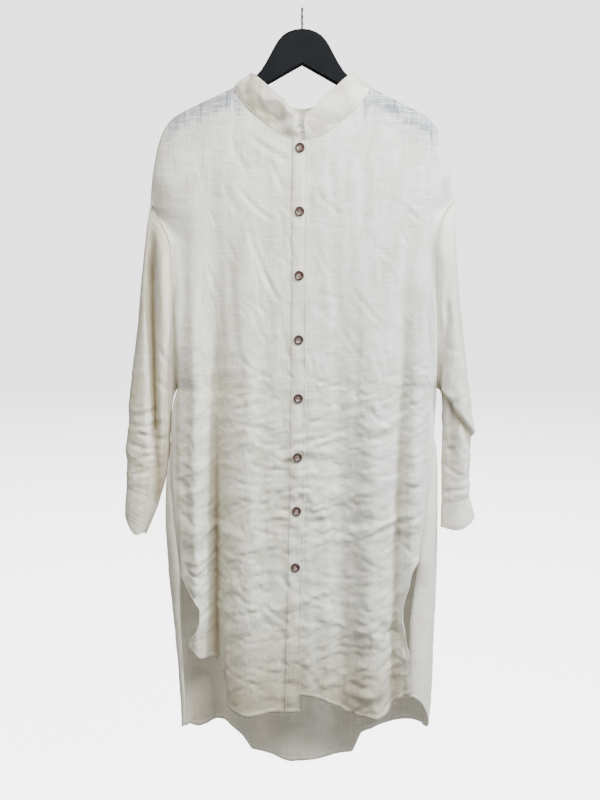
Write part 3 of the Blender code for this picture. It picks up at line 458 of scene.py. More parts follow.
def panel_drops(top, slit, hem, levels):
    level = levels[:, None]
    drop = top + (UNDERARM - top) * np.clip(level, 0.0, 1.0)
    drop = drop + (slit - UNDERARM) * np.clip(level - 1.0, 0.0, 1.0)
    return drop + (hem - slit) * np.clip(level - 2.0, 0.0, 1.0)


def evenly(places, x, y, count):
    """Places whose points lie at even steps along the curve x, y."""
    run = np.concatenate(((0.0,), np.cumsum(np.hypot(np.diff(x), np.diff(y)))))
    return np.interp(np.linspace(0.0, run[-1], count), run, places)


def front_panel(side):
    """Grid of points of a front, with each column's place on the top line."""
    free_top = free_edge(side)
    fine = np.linspace(free_top, SHOULDER_REACH, FINE_STEPS)
    section = front_place(side, fine, np.full(fine.shape, SPACING_DROP))
    x_top = evenly(fine, section[0], section[1], PANEL_COLUMNS)
    hem = follow(FRONT_HEMS[side], "x", "drop", side * front_place(side, x_top, HEM_PROBE)[0])
    top = top_line(side, x_top, "front")
    drop = panel_drops(top, SLIT[side], hem, panel_levels(PANEL_ROWS))
    x, y = front_place(side, x_top[None, :], drop)
    return np.stack((x, y, -drop), axis=-1), x_top


def swell(x, y, size_x, size_y, seed):
    """Soft uneven noise from -1 to 1, with swells of the given width and height."""
    lattice = np.random.default_rng(seed).uniform(-1.0, 1.0, (64, 64))
    gx, gy = x / size_x, y / size_y
    ix, iy = np.floor(gx).astype(int), np.floor(gy).astype(int)
    tx, ty = gx - ix, gy - iy
    tx = tx ** 3 * (tx * (6.0 * tx - 15.0) + 10.0)
    ty = ty ** 3 * (ty * (6.0 * ty - 15.0) + 10.0)
    near = lattice[iy % 64, ix % 64] * (1.0 - tx) + lattice[iy % 64, (ix + 1) % 64] * tx
    below = (iy + 1) % 64
    far = lattice[below, ix % 64] * (1.0 - tx) + lattice[below, (ix + 1) % 64] * tx
    return near * (1.0 - ty) + far * ty


def facets(x, y, size_x, size_y, seed):
    """Crushed cloth: flat facets of random slope that meet in soft creases, about -1 to 1."""
    lattice = np.random.default_rng(seed).uniform(-1.0, 1.0, (64, 64))
    other_way = np.random.default_rng(seed + 3).uniform(size=(64, 64)) < 0.5
    wide = size_x * 1.7, size_y * 1.9
    gx = x / size_x + 0.75 * swell(x, y, *wide, seed + 1) + 0.5 * y / size_y
    gy = y / size_y + 0.75 * swell(x, y, *wide, seed + 2)
    total = 0.0
    for step_x, step_y in ((0, 0), (1, 1), (-1, 1), (1, -1), (-1, -1)):
        u, v = gx + step_x * 1.1 / size_x, gy + step_y * 1.1 / size_y
        ix, iy = np.floor(u).astype(int), np.floor(v).astype(int)
        fx, fy = u - ix, v - iy
        here, right = lattice[iy % 64, ix % 64], lattice[iy % 64, (ix + 1) % 64]
        under, across = lattice[(iy + 1) % 64, ix % 64], lattice[(iy + 1) % 64, (ix + 1) % 64]
        near = here + (right - here) * fx + (under - here) * fy
        far = across + (under - across) * (1.0 - fx) + (right - across) * (1.0 - fy)
        falling = np.where(fx + fy < 1.0, near, far)
        low = here + (under - here) * fy + (across - under) * fx
        high = here + (right - here) * fx + (across - right) * fy
        rising = np.where(fx < fy, low, high)
        total = total + np.where(other_way[iy % 64, ix % 64], rising, falling)
    return total / 5.0


def creases(x, y, rows):
    """Relief of separate creases: a trough with a soft lip on each side, fading at its ends."""
    total = np.zeros(x.shape)
    for x0, y0, x1, y1, width, depth, bow in zip(*rows.values()):
        length = math.hypot(x1 - x0, y1 - y0)
        far = length * 0.65 + 4.0 * width
        near = (abs(x - (x0 + x1) / 2) < far) & (abs(y - (y0 + y1) / 2) < far)
        px, py = x[near] - x0, y[near] - y0
        along = (px * (x1 - x0) + py * (y1 - y0)) / length ** 2
        off = (px * (y1 - y0) - py * (x1 - x0)) / length
        off = off + bow * (4.0 * along * (1.0 - along)) - bow * 0.5
        ends = ease((along + 0.2) / 0.4) * ease((1.2 - along) / 0.4)
        trough = np.exp(-((off / width) ** 2))
        lips = 0.45 * np.exp(-((abs(off) / width - 1.9) ** 2))
        total[near] += depth * ends * (lips - trough)
    return total


def scattered(seed, count, box, lean, length, width, depth):
    """Table of small creases strewn over a box, most of them lying near one direction."""
    rng = np.random.default_rng(seed)
    x = rng.uniform(box[0], box[1], count)
    y = rng.uniform(box[2], box[3], count)
    turn = rng.normal(lean[0], lean[1], count)
    half = rng.uniform(length[0], length[1], count) / 2.0
    signs = np.where(rng.uniform(size=count) < 0.3, -0.8, 1.0)
    return {
        "x0": x - half * np.cos(turn), "y0": y - half * np.sin(turn),
        "x1": x + half * np.cos(turn), "y1": y + half * np.sin(turn),
        "width": rng.uniform(width[0], width[1], count),
        "depth": rng.uniform(depth[0], depth[1], count) * signs,
        "bow": rng.uniform(-4.0, 4.0, count),
    }


def front_relief(x, drop, run=None):
    """Creases and crush of both fronts, in millimetres outward; stronger lower down.

    The run is the distance round the cloth, where it differs from the distance across.
    """
    run = x if run is None else run
    worn = ease((drop - 860.0) / 200.0)
    low = 0.12 + 0.88 * ease((drop - 430.0) / 320.0)
    patchy = 0.75 + 0.4 * swell(x, drop, 120.0, 90.0, 31)
    relief = creases(x, drop, FRONT_CREASES) * 0.75
    relief += creases(run, drop, scattered(41, 240, (-245, 245, 560, 1140), (0.05, 0.7),
                                         (12, 34), (2.6, 3.8), (0.25, 0.7)))
    relief += creases(run, drop, scattered(43, 70, (-190, 190, 210, 600), (1.2, 0.5),
                                         (20, 60), (3.0, 5.0), (0.25, 0.6)))
    crush = 3.3 * facets(run, drop, 38.0, 21.0, 51) * (1.0 - worn)
    crush += 5.8 * facets(run, drop, 40.0, 36.0, 55) * worn
    crush += 2.9 * facets(run, drop, 17.0, 12.0, 57) + 1.3 * facets(run, drop, 9.5, 7.5, 67)
    flutes = 0.9 * swell(x, drop, 24.0, 210.0, 61) + 0.3 * swell(x, drop, 11.0, 90.0, 63)
    flat = np.ones(x.shape)
    for button_drop in BUTTON_DROPS:
        apart = np.hypot(x - follow(BAND_LINE, "drop", "x", drop), drop - button_drop)
        flat = np.minimum(flat, ease((apart - BUTTON_RADIUS) / BUTTON_CALM))
    return (relief + crush * low * patchy + flutes * (1.0 - 0.45 * low)) * flat


def outward(points, closed=False):
    """Unit direction square to the cloth at every point of a grid."""
    down = np.gradient(points, axis=0)
    if closed:
        loop = np.concatenate((points[:, -2:-1], points, points[:, 1:2]), axis=1)
        across = np.gradient(loop, axis=1)[:, 1:-1]
    else:
        across = np.gradient(points, axis=1)
    square = np.cross(across, down)
    return square / np.maximum(np.linalg.norm(square, axis=-1, keepdims=True), 1e-9)


def facing_front(square, row, column):
    """The directions, all turned round where the one at this place points backward."""
    return -square if square[row, column, 1] > 0.0 else square


def edge_calm(drop, slit, to_side, width):
    """Share of the relief that is left: none on a seam, a little on a free edge."""
    near = ease(to_side / width)
    return np.where(drop < slit, near, 0.25 + 0.75 * near) * ease((drop - drop[:1]) / SEAM_CALM)


def turnings(drop, slit, to_hem, to_edge):
    """Where the cloth is doubled: the turned hem, and the turned edge below the slit."""
    hem = ease((HEM_TURNED - to_hem) / TURNED_RUN)
    return np.maximum(hem, np.where(drop > slit, ease((EDGE_TURNED - to_edge) / TURNED_RUN), 0.0))


def drawn_in(points, gap, sides):
    """The grid with the named borders drawn in a little, to leave room at the seams."""
    moved = points.copy()
    for side, edge, inner in (
        ("top", np.s_[0], np.s_[1]), ("foot", np.s_[-1], np.s_[-2]),
        ("first", np.s_[:, 0], np.s_[:, 1]), ("last", np.s_[:, -1], np.s_[:, -2]),
    ):
        if side in sides:
            way = points[inner] - points[edge]
            size = np.maximum(np.linalg.norm(way, axis=-1, keepdims=True), 1e-6)
            moved[edge] = moved[edge] + way / size * np.minimum(gap, size * 0.6)
    return moved


def cloth_lengths(points):
    """Two maps of the flat cloth in metres: from the first corner, and from the last."""
    across = np.linalg.norm(np.diff(points, axis=1), axis=-1).mean(axis=0)
    down = np.linalg.norm(np.diff(points, axis=0), axis=-1)
    u = np.concatenate(((0.0,), np.cumsum(across)))[None, :] * np.ones((points.shape[0], 1))
    v = np.concatenate((np.zeros((1, points.shape[1])), np.cumsum(down, axis=0)))
    near = np.stack((u, v), axis=-1) * 0.001
    far = np.stack((u[:, -1:] - u, v[-1:] - v), axis=-1) * 0.001
    return near, far


def cloth_shell(name, points, material, thickness=CLOTH, closed=False, sheer=None, deep=None,
                level=False):
    """Thin cloth: a grid whose crossings are moved into place, then given a wall.

    A level cloth's weft lies level, not along its top edge.
    """
    rows, columns = points.shape[:2]
    grid = bmesh.new()
    bmesh.ops.create_grid(grid, x_segments=columns - 1, y_segments=rows - 1, size=1.0)
    mesh = bpy.data.meshes.new(name)
    grid.to_mesh(mesh)
    mesh.vertices.foreach_set("co", (points * 0.001).astype(np.float32).ravel())
    corner = np.zeros(len(mesh.loops), np.int32)
    mesh.loops.foreach_get("vertex_index", corner)
    near, far = cloth_lengths(points)
    if level:
        near[..., 1] = near[..., 1] - 0.001 * points[:1, :, 2]
    for layer, flat in (("cloth", near), ("from_far", far)):
        values = flat.reshape(-1, 2)[corner].astype(np.float32)
        mesh.uv_layers.new(name=layer).data.foreach_set("uv", values.ravel())
    for label, values in (("sheer", sheer), ("deep", deep)):
        values = np.zeros((rows, columns)) if values is None else values
        shown = mesh.attributes.new(label, "FLOAT", "POINT")
        shown.data.foreach_set("value", values.astype(np.float32).ravel())
    grid.clear()
    grid.from_mesh(mesh)
    if closed:
        bmesh.ops.remove_doubles(grid, verts=grid.verts, dist=1e-6)
    grid.to_mesh(mesh)
    grid.free()
    mesh.shade_smooth()
    mesh.materials.append(material)
    piece = bpy.data.objects.new(name, mesh)
    bpy.context.scene.collection.objects.link(piece)
    wall = piece.modifiers.new("cloth_wall", "SOLIDIFY")
    wall.thickness = thickness * 0.001
    wall.offset = 0.0
    return piece


def new_group(name, inputs, outputs):
    """Empty shader node group with named inputs and outputs, and its two end nodes."""
    made = bpy.data.node_groups.new(name, "ShaderNodeTree")
    for label, kind, value in inputs:
        socket = made.interface.new_socket(label, in_out="INPUT", socket_type="NodeSocket" + kind)
        if value is not None:
            socket.default_value = value
    for label, kind in outputs:
        made.interface.new_socket(label, in_out="OUTPUT", socket_type="NodeSocket" + kind)
    start = made.nodes.new("NodeGroupInput")
    end = made.nodes.new("NodeGroupOutput")
    return made, start.outputs, end.inputs


def calc(tree, operation, first, second=0.0, third=0.0):
    return add(tree, "Math", {"operation": operation}, _0=first, _1=second, _2=third).outputs[0]


def blended(tree, share, first, second, mode="MIX"):
    mixed = add(tree, "Mix", {"data_type": "RGBA", "blend_type": mode}, _0=share, _6=first, _7=second)
    return mixed.outputs[2]


def stretched(tree, flat, across, down, depth, detail):
    """Noise over the flat cloth, with its own scale across and down, per metre."""
    placed = add(tree, "VectorMath", {"operation": "MULTIPLY"}, _0=flat, _1=(across, down, 0.0))
    moved = add(tree, "VectorMath", {"operation": "ADD"}, _0=placed.outputs[0], _1=(depth, depth, depth))
    return add(tree, "TexNoise", Vector=moved.outputs[0], Scale=1.0, Detail=detail).outputs[0]


def ramped(tree, value, low, high, top=1.0):
    """Share from 0 to the top value as the input goes from low to high."""
    return add(tree, "MapRange", {"clamp": True}, _0=value, _1=low, _2=high, _4=top).outputs[0]


def odd_threads(tree, flat, aside, along, depths, low, high):
    """Uneven threads down and across the cloth, from 0 to 1: its thick slubs or its thin gaps."""
    down = stretched(tree, flat, aside, along, depths[0], 1.0)
    over = stretched(tree, flat, along, aside, depths[1], 1.0)
    return calc(tree, "MAXIMUM", ramped(tree, down, low, high), ramped(tree, over, low, high))


SLUB_TONE = (0.96, 0.955, 0.93, 1.0)
# Warm dark tone of painted shade, mixed into the cloth wherever its deep attribute is set
PAINTED_SHADE_TONE = (0.36, 0.295, 0.165, 1.0)


weave, weave_in, weave_out = new_group(
    "linen_weave",
    (
        ("Flat", "Vector", None), ("Thread", "Color", (0.8, 0.8, 0.76, 1.0)),
        ("Shade", "Color", (0.6, 0.58, 0.5, 1.0)), ("Behind", "Color", (0.2, 0.22, 0.27, 1.0)),
        ("Deep", "Float", 0.0), ("Sheer", "Float", 0.0), ("Crush", "Float", 1.0),
        ("Pitch", "Float", 0.00078),
    ),
    (("Color", "Color"), ("Roughness", "Float"), ("Height", "Float")),
)
pitch_turns = calc(weave, "DIVIDE", math.pi, weave_in["Pitch"])
flat_parts = add(weave, "SeparateXYZ", Vector=weave_in["Flat"])
warp = calc(weave, "SINE", calc(weave, "MULTIPLY", flat_parts.outputs[0], pitch_turns))
weft = calc(weave, "SINE", calc(weave, "MULTIPLY", flat_parts.outputs[1], pitch_turns))
crossing = calc(weave, "MULTIPLY", warp, weft)
slubs = odd_threads(weave, weave_in["Flat"], 620.0, 20.0, (3.1, 8.7), 0.56, 0.68)
gaps = odd_threads(weave, weave_in["Flat"], 480.0, 12.0, (13.9, 17.3), 0.43, 0.30)
clouds = stretched(weave, weave_in["Flat"], 42.0, 16.0, 23.0, 4.0)
cloudy = ramped(weave, clouds, 0.41, 0.62, top=0.9)
toned = blended(weave, cloudy, weave_in["Thread"], weave_in["Shade"])
between = calc(weave, "MULTIPLY", calc(weave, "SUBTRACT", 1.0, crossing), 0.055)
toned = blended(weave, calc(weave, "ADD", between, calc(weave, "MULTIPLY", gaps, 0.34)), toned,
                weave_in["Shade"])
toned = blended(weave, calc(weave, "MULTIPLY", slubs, 0.75), toned, SLUB_TONE)
# Painted shade: the Deep input darkens and warms the cloth towards the painted shade tone
toned = blended(weave, weave_in["Deep"], toned, PAINTED_SHADE_TONE)
# Painted see-through: where Sheer is set, the dark Behind colour shows in the open weave, for the hanger
# behind the cloth and the shade about it
open_weave = calc(weave, "MULTIPLY_ADD", gaps, 0.55, 0.62)
open_weave = calc(weave, "SUBTRACT", open_weave, calc(weave, "MULTIPLY", slubs, 0.5))
seen_through = calc(weave, "MULTIPLY", weave_in["Sheer"], open_weave)
weave.links.new(blended(weave, seen_through, toned, weave_in["Behind"]), weave_out["Color"])
rough = calc(weave, "MULTIPLY_ADD", clouds, 0.5, 0.36)
weave.links.new(rough, weave_out["Roughness"])
crinkle = stretched(weave, weave_in["Flat"], 90.0, 130.0, 31.0, 3.0)
crinkle = calc(weave, "ABSOLUTE", calc(weave, "SUBTRACT", crinkle, 0.5))
height = calc(weave, "MULTIPLY", calc(weave, "MULTIPLY", crinkle, 2.2), weave_in["Crush"])
height = calc(weave, "ADD", height, calc(weave, "MULTIPLY", crossing, 0.035))
height = calc(weave, "ADD", height, calc(weave, "MULTIPLY", slubs, 0.10))
weave.links.new(height, weave_out["Height"])

stitch, stitch_in, stitch_out = new_group(
    "stitch_row",
    (
        ("Distance", "Float", 0.0), ("Run", "Float", 0.0), ("Offset", "Float", 0.006),
        ("Length", "Float", 0.0026), ("From", "Float", 0.0), ("To", "Float", 9.0),
    ),
    (("Thread", "Float"), ("Dimple", "Float")),
)
from_line = calc(stitch, "ABSOLUTE", calc(stitch, "SUBTRACT", stitch_in["Distance"], stitch_in["Offset"]))
on_line = ramped(stitch, from_line, 0.00055, 0.0003)
beside = ramped(stitch, from_line, 0.0022, 0.0002)
step = calc(stitch, "FRACT", calc(stitch, "DIVIDE", stitch_in["Run"], stitch_in["Length"]))
sewn = calc(stitch, "LESS_THAN", step, 0.74)
inside = calc(stitch, "MULTIPLY", calc(stitch, "GREATER_THAN", stitch_in["Run"], stitch_in["From"]),
              calc(stitch, "LESS_THAN", stitch_in["Run"], stitch_in["To"]))
stitch.links.new(calc(stitch, "MULTIPLY", calc(stitch, "MULTIPLY", on_line, sewn), inside),
                 stitch_out["Thread"])
stitch.links.new(calc(stitch, "MULTIPLY", beside, inside), stitch_out["Dimple"])

FRONT_LINEN = (0.868, 0.866, 0.79, 1.0)
FRONT_SHADE = (0.70, 0.675, 0.55, 1.0)
SEWN_THREAD = (0.88, 0.87, 0.82, 1.0)
HEM_STITCH = 0.0068
EDGE_STITCH = 0.006
# Longer than any seam: a row of stitches that has no end
WHOLE_RUN = 9.0


def linen(name, thread, shade, rows=(), crush=1.0, sheen=0.25, roughness_shift=0.0, glow=0.0):
    """Linen with its weave, slubs and crinkle, and rows of stitches.

    Each row of stitches: the map it is measured on, 0 or 1 for across or down, how far it
    lies from that edge in metres, and where it begins and ends along its run. The glow is
    painted light: an emission in the thread's colour that stands in for the light that comes
    through thin cloth from behind.
    """
    made, tree, shader = start_material(name)
    maps = {layer: add(tree, "UVMap", {"uv_map": layer}) for layer in ("cloth", "from_far")}
    # The cloth's deep attribute carries painted shade; its sheer attribute carries the hanger painted
    # showing through
    tint = add(tree, "Attribute", {"attribute_name": "sheer"})
    hollow = add(tree, "Attribute", {"attribute_name": "deep"})
    cloth = add(tree, "Group", {"node_tree": weave}, Flat=maps["cloth"].outputs[0], Thread=thread,
                Shade=shade, Sheer=tint.outputs["Fac"], Deep=hollow.outputs["Fac"], Crush=crush)
    colour, relief = cloth.outputs["Color"], cloth.outputs["Height"]
    for layer, axis, offset, begins, ends in rows:
        parts = add(tree, "SeparateXYZ", Vector=maps[layer].outputs[0])
        run = parts.outputs[1 - axis]
        row = add(tree, "Group", {"node_tree": stitch}, Distance=parts.outputs[axis], Run=run,
                  Offset=offset, From=begins, To=ends)
        # Painted shade in the dimple beside each row of stitches, which also sinks the relief there
        colour = blended(tree, calc(tree, "MULTIPLY", row.outputs["Dimple"], 0.34), colour, shade)
        colour = blended(tree, row.outputs["Thread"], colour, SEWN_THREAD)
        relief = calc(tree, "MULTIPLY_ADD", row.outputs["Dimple"], -0.5, relief)
        relief = calc(tree, "MULTIPLY_ADD", row.outputs["Thread"], 0.3, relief)
    bump = add(tree, "Bump", Height=relief, Strength=1.0, Distance=0.0006)
    feed(
        tree, shader, Base_Color=colour, Normal=bump.outputs[0],
        Roughness=calc(tree, "ADD", cloth.outputs["Roughness"], roughness_shift),
        Emission_Color=thread, Emission_Strength=glow, Sheen_Weight=sheen, Sheen_Roughness=0.5,
        Specular_IOR_Level=0.4,
    )
    return made


# How far out the hanger's arm touches the shoulder from inside
ARM_FROM, ARM_TO = 88.0, 222.0


def hanger_tint(x, drop, ridge, strength):
    """How strongly the dark hanger is painted showing through thin cloth lying over its arm, with painted
    shade spreading below it.
    """
    span = ease((abs(x) - ARM_FROM) / 14.0) * ease((ARM_TO - abs(x)) / 14.0)
    below = drop - ridge
    depth = 0.65 * ease((34.0 - below) / 14.0) + 0.35 * ease((70.0 - below) / 40.0)
    patchy = 0.85 + 0.3 * swell(x, drop, 9.0, 9.0, 71)
    return strength * span * depth * patchy


def painted_fold_shade(folds, x, drop):
    """How much painted shade each place gets from the long folds, from 0 to 1, for the colour there."""
    depth = np.zeros(np.broadcast(x, drop).shape)
    for x_top, x_hem, width, share, begins, full in zip(*folds.values()):
        grown = ease((drop - begins) / (full - begins))
        depth = np.maximum(depth, share * grown * beside_fold(x_top, x_hem, width, x, drop))
    return depth


# Painted shade in the long valleys of the fronts and broadly towards the hem: darker, warmer colour that
# stands in for light caught in the folds, which comes back warmer, and for light falling off lower down
FRONT_PAINTED_SHADE = table(
    "x_top x_hem width share begins full",
    (-139, -150, 12, 0.80, 400, 880), (-128, -133, 24, 0.42, 220, 760),
    (60, 68, 26, 0.34, 240, 1150), (168, 154, 9, 0.60, 230, 880), (-8, -18, 5, 0.22, 300, 700),
    (-203, -205, 4, 0.45, 290, 420),
    (0, 0, 500, 0.16, 500, 860), (0, 0, 500, 0.78, 880, 1180),
)


def finished_front(side, name, material):
    """Front with its creases, narrow turned hems and thin shoulder, where the hanger is painted showing
    through; painted shade lies in its folds and towards its hem.
    """
    points, x_top = front_panel(side)
    drop = -points[..., 2]
    level = len(points) // 2
    square = facing_front(outward(points), level, PANEL_COLUMNS // 2)
    calm = edge_calm(drop, SLIT[side], (x_top[-1] - x_top)[None, :], 26.0)
    near, far = cloth_lengths(points)
    x_level, run_level = abs(points[level, :, 0]), near[level, :, 0] * 1000.0
    past = np.interp(FLAT_HALF, x_level, run_level)
    gained = np.maximum(0.0, FLAT_HALF + run_level - past - x_level)
    run = points[..., 0] + side * (gained * (x_level > FLAT_HALF))[None, :]
    relief = front_relief(points[..., 0], drop, run) * calm
    relief = relief + 0.55 * turnings(drop, SLIT[side], far[..., 1] * 1000.0, far[..., 0] * 1000.0)
    points = points + square * relief[..., None]
    # The hanger painted showing through the thin shoulder, with painted shade about it
    tint = hanger_tint(points[..., 0], drop, drop[:1], 1.25)
    # Painted shade in the long valleys and towards the hem
    deep = painted_fold_shade(FRONT_PAINTED_SHADE, points[..., 0], drop)
    points = drawn_in(points, SEAM_GAP, ("top", "last"))
    if side == LEFT:
        points, tint, deep = points[:, ::-1], tint[:, ::-1], deep[:, ::-1]
    piece = cloth_shell(name, points, material, sheer=tint, deep=deep, level=True)
    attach(piece, "root")
    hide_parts(name)
    return piece


right_front_linen = linen(
    "right_front_linen", FRONT_LINEN, FRONT_SHADE,
    rows=(("from_far", 1, HEM_STITCH, 0.0, 0.25), ("from_far", 0, EDGE_STITCH, 0.0, 0.15)),
)
front_right = finished_front(RIGHT, "front_right", right_front_linen)


# Left front: the half that lies under. The same linen, a little shorter, its free edge hidden
# behind the band of the right front; its slit is higher and its hem curves the other way.

# Its colours are cooler than the right front's: painted light, standing in for the cool side light that
# falls on this side
left_front_linen = linen(
    "left_front_linen", (0.858, 0.876, 0.835, 1.0), (0.70, 0.70, 0.62, 1.0),
    rows=(("from_far", 1, HEM_STITCH, 0.0, 0.25), ("cloth", 0, EDGE_STITCH, 0.89, 1.4)),
)
front_left = finished_front(LEFT, "front_left", left_front_linen)


# Back: one wide piece, longer than the fronts, that wraps round both sides so that its seams
# and slits show from the front. Its hem is curved and drops in the middle, and the sides
# below the slits hang as flat strips with turned edges.

BACK_EDGES = {
    RIGHT: table("drop x", (905, 203), (965, 206), (1056, 204), (1130, 201), (1200, 204)),
    LEFT: table(
        "drop x", (881, 195), (939, 189), (974, 185), (1005, 183), (1050, 183), (1115, 182),
        (1200, 190),
    ),
}
BACK_HEM = table(
    "x drop",
    (-207, 1201), (-184, 1214), (-170, 1211), (-155, 1203), (-140, 1201), (-117, 1220),
    (-100, 1250), (-90, 1267), (-52, 1275), (-7, 1283), (34, 1280), (67, 1274),
    (90, 1267), (98, 1250), (107, 1227), (120, 1218), (146, 1213), (166, 1210),
    (197, 1203), (218, 1204),
)
BACK_EDGE_HEM = {RIGHT: 1178.0, LEFT: 1128.0}
BACK_HEM_PROBE = 1190.0
TURN_STOPS = (216.0 / 245.0, 228.0 / 245.0, 239.0 / 245.0)
TAIL_TUCK = 9.0
BACK_SPACING_DROP = 760.0
BACK_HALF_COLUMNS = 73
BACK_ROWS = (150, 78, 82)
BACK_FOLDS = table(
    "x_top x_hem width push begins full",
    (-150, -128, 18, -16, 420, 1200), (-92, -84, 24, 9, 500, 1200),
    (-18, -22, 26, -8, 420, 1240), (58, 62, 26, 8, 500, 1240),
    (126, 120, 18, -15, 420, 1200), (176, 168, 20, 6, 500, 1180),
    (-120, -112, 9, -4, 320, 700), (96, 92, 10, -4, 300, 700),
    (22, 18, 12, -2.4, 260, 520), (-60, -54, 12, 2.2, 280, 560),
    (-9, -10, 5, 2.6, 1080, 1230),
)
BACK_CREASES = table(
    "x0 d0 x1 d1 width depth bow",
    (-92, 214, -30, 250, 5, 1.2, 3), (88, 220, 34, 262, 5, 1.2, 3),
    (-120, 300, -60, 352, 5, 1.0, 3), (118, 318, 70, 372, 5, 1.0, 3),
    (-150, 470, -118, 560, 5, 1.1, 3), (140, 480, 112, 566, 5, 1.1, 3),
    (-60, 640, -4, 652, 4, 1.3, 3), (30, 690, 96, 676, 4, 1.4, 3),
    (-130, 760, -74, 748, 4, 1.4, 3), (60, 800, 128, 818, 4, 1.4, 4),
    (-40, 850, 34, 858, 4, 1.4, 3), (-150, 900, -92, 918, 4, 1.4, 3),
    (90, 930, 150, 914, 4, 1.4, 3), (-70, 1000, -6, 984, 4, 1.4, 3),
    (20, 1060, 92, 1076, 4, 1.4, 4), (-110, 1130, -44, 1116, 4, 1.3, 3),
    (-60, 1200, -14, 1224, 4, 1.3, 3), (30, 1180, 74, 1206, 4, 1.3, 3),
    (-205, 760, -180, 770, 4, 1.2, 1), (200, 830, 222, 818, 4, 1.2, 1),
)


def bend(at, stops, values):
    """Smooth curve through values at fixed stops, where the values may be whole grids."""
    steps = list(zip(stops, stops[1:], values, values[1:]))
    slopes = [(after - before) / (end - start) for start, end, before, after in steps]
    slopes = [slopes[0]] + [
        (values[k + 1] - values[k - 1]) / (stops[k + 1] - stops[k - 1])
        for k in range(1, len(stops) - 1)
    ] + [slopes[-1]]
    result = np.zeros(np.broadcast(at, values[-1]).shape)
    for k, (start, end, before, after) in enumerate(steps):
        t = np.clip((at - start) / (end - start), 0.0, 1.0)
        rest = 1.0 - t
        piece = before * rest * rest * (1.0 + 2.0 * t) + after * t * t * (3.0 - 2.0 * t)
        piece = piece + slopes[k] * (end - start) * t * rest * rest
        piece = piece - slopes[k + 1] * (end - start) * t * t * rest
        result = np.where((at >= start) | (k == 0), piece, result)
    return result


def back_place(side, x_top, drop):
    """Across and forward position of the back at a place on its top line and a drop."""
    share = x_top / SHOULDER_REACH
    square = follow(DEPTHS, "drop", "square", drop)
    middle = follow(DEPTHS, "drop", "back", drop)
    held = side_lead(side, drop)
    x_open = abs(across_panel(side, share, drop, 0.0))
    section = x_open / reach(side, drop)
    felt = held * lead_share(section, drop)
    risen = spread(side, x_top, drop) * np.where(drop < UNDERARM, edge_rise(side, x_open, drop), 1.0)
    y_open = felt + half_section(section, 0.0, middle - felt, square) * risen
    outline = follow(SIDES[side], "drop", "outline", drop)
    seam = np.where(
        drop > SLIT[side], follow(BACK_EDGES[side], "drop", "x", drop), reach(side, drop)
    )
    lead = held - TAIL_TUCK * ease((drop - SLIT[side]) / 60.0)
    x_turned = bend(
        share, (0.0,) + TURN_STOPS + (1.0,),
        (0.0 * outline, outline * 0.965, outline, seam + (outline - seam) * 0.55, seam),
    )
    y_side = bend(
        share, TURN_STOPS + (1.0,),
        (19.0 + 0.0 * lead, 1.0 + 0.0 * lead, -0.72 * lead, -lead),
    )
    y_flat = half_section(share / TURN_STOPS[0], 19.0, middle, square)
    y_turned = np.where(share < TURN_STOPS[0], y_flat, y_side)
    turned = ease((drop - UNDERARM) / 110.0)
    x = side * (x_open + (x_turned - x_open) * turned)
    y = y_open + (y_turned - y_open) * turned
    sewn = ease((share - 0.955) / 0.045) * (drop >= UNDERARM)
    y = y + (-lead - y) * sewn
    push = hanging_folds(BACK_FOLDS, x, drop)
    return x, y + push * np.clip((1.0 - share) / 0.15, 0.0, 1.0)


def back_half(side):
    fine = np.linspace(0.0, SHOULDER_REACH, FINE_STEPS)
    section = back_place(side, fine, np.full(fine.shape, BACK_SPACING_DROP))
    x_top = evenly(fine, section[0], section[1], BACK_HALF_COLUMNS)
    x_hem = back_place(side, x_top, np.full(x_top.shape, BACK_HEM_PROBE))[0]
    hem = follow(BACK_HEM, "x", "drop", x_hem)
    share = ease((x_top / SHOULDER_REACH - TURN_STOPS[0]) / (1.0 - TURN_STOPS[0]))
    hem = hem + (BACK_EDGE_HEM[side] - hem) * share ** 2
    tilt = 0.5 + 0.5 * side * x_top / SHOULDER_REACH
    slit = SLIT[RIGHT] + (SLIT[LEFT] - SLIT[RIGHT]) * tilt
    drop = panel_drops(top_line(side, x_top, "back"), slit, hem, panel_levels(BACK_ROWS))
    x, y = back_place(side, x_top[None, :], drop)
    return np.stack((x, y, -drop), axis=-1), x_top


def back_relief(x, drop, run):
    low = 0.25 + 0.75 * ease((drop - 430.0) / 330.0)
    relief = 0.6 * creases(x, drop, BACK_CREASES)
    relief += creases(run, drop, scattered(141, 230, (-290, 290, 560, 1270), (0.0, 0.7),
                                         (14, 38), (3.0, 4.2), (0.25, 0.7)))
    relief += creases(run, drop, scattered(143, 80, (-200, 200, 190, 600), (1.3, 0.5),
                                         (20, 60), (3.2, 5.2), (0.25, 0.6)))
    crush = 3.2 * facets(run, drop, 44.0, 28.0, 151) + 1.8 * facets(run, drop, 20.0, 13.0, 157)
    flutes = 1.0 * swell(x, drop, 26.0, 220.0, 161) + 0.4 * swell(x, drop, 13.0, 100.0, 163)
    return relief + crush * low + flutes * (1.0 - 0.45 * low)


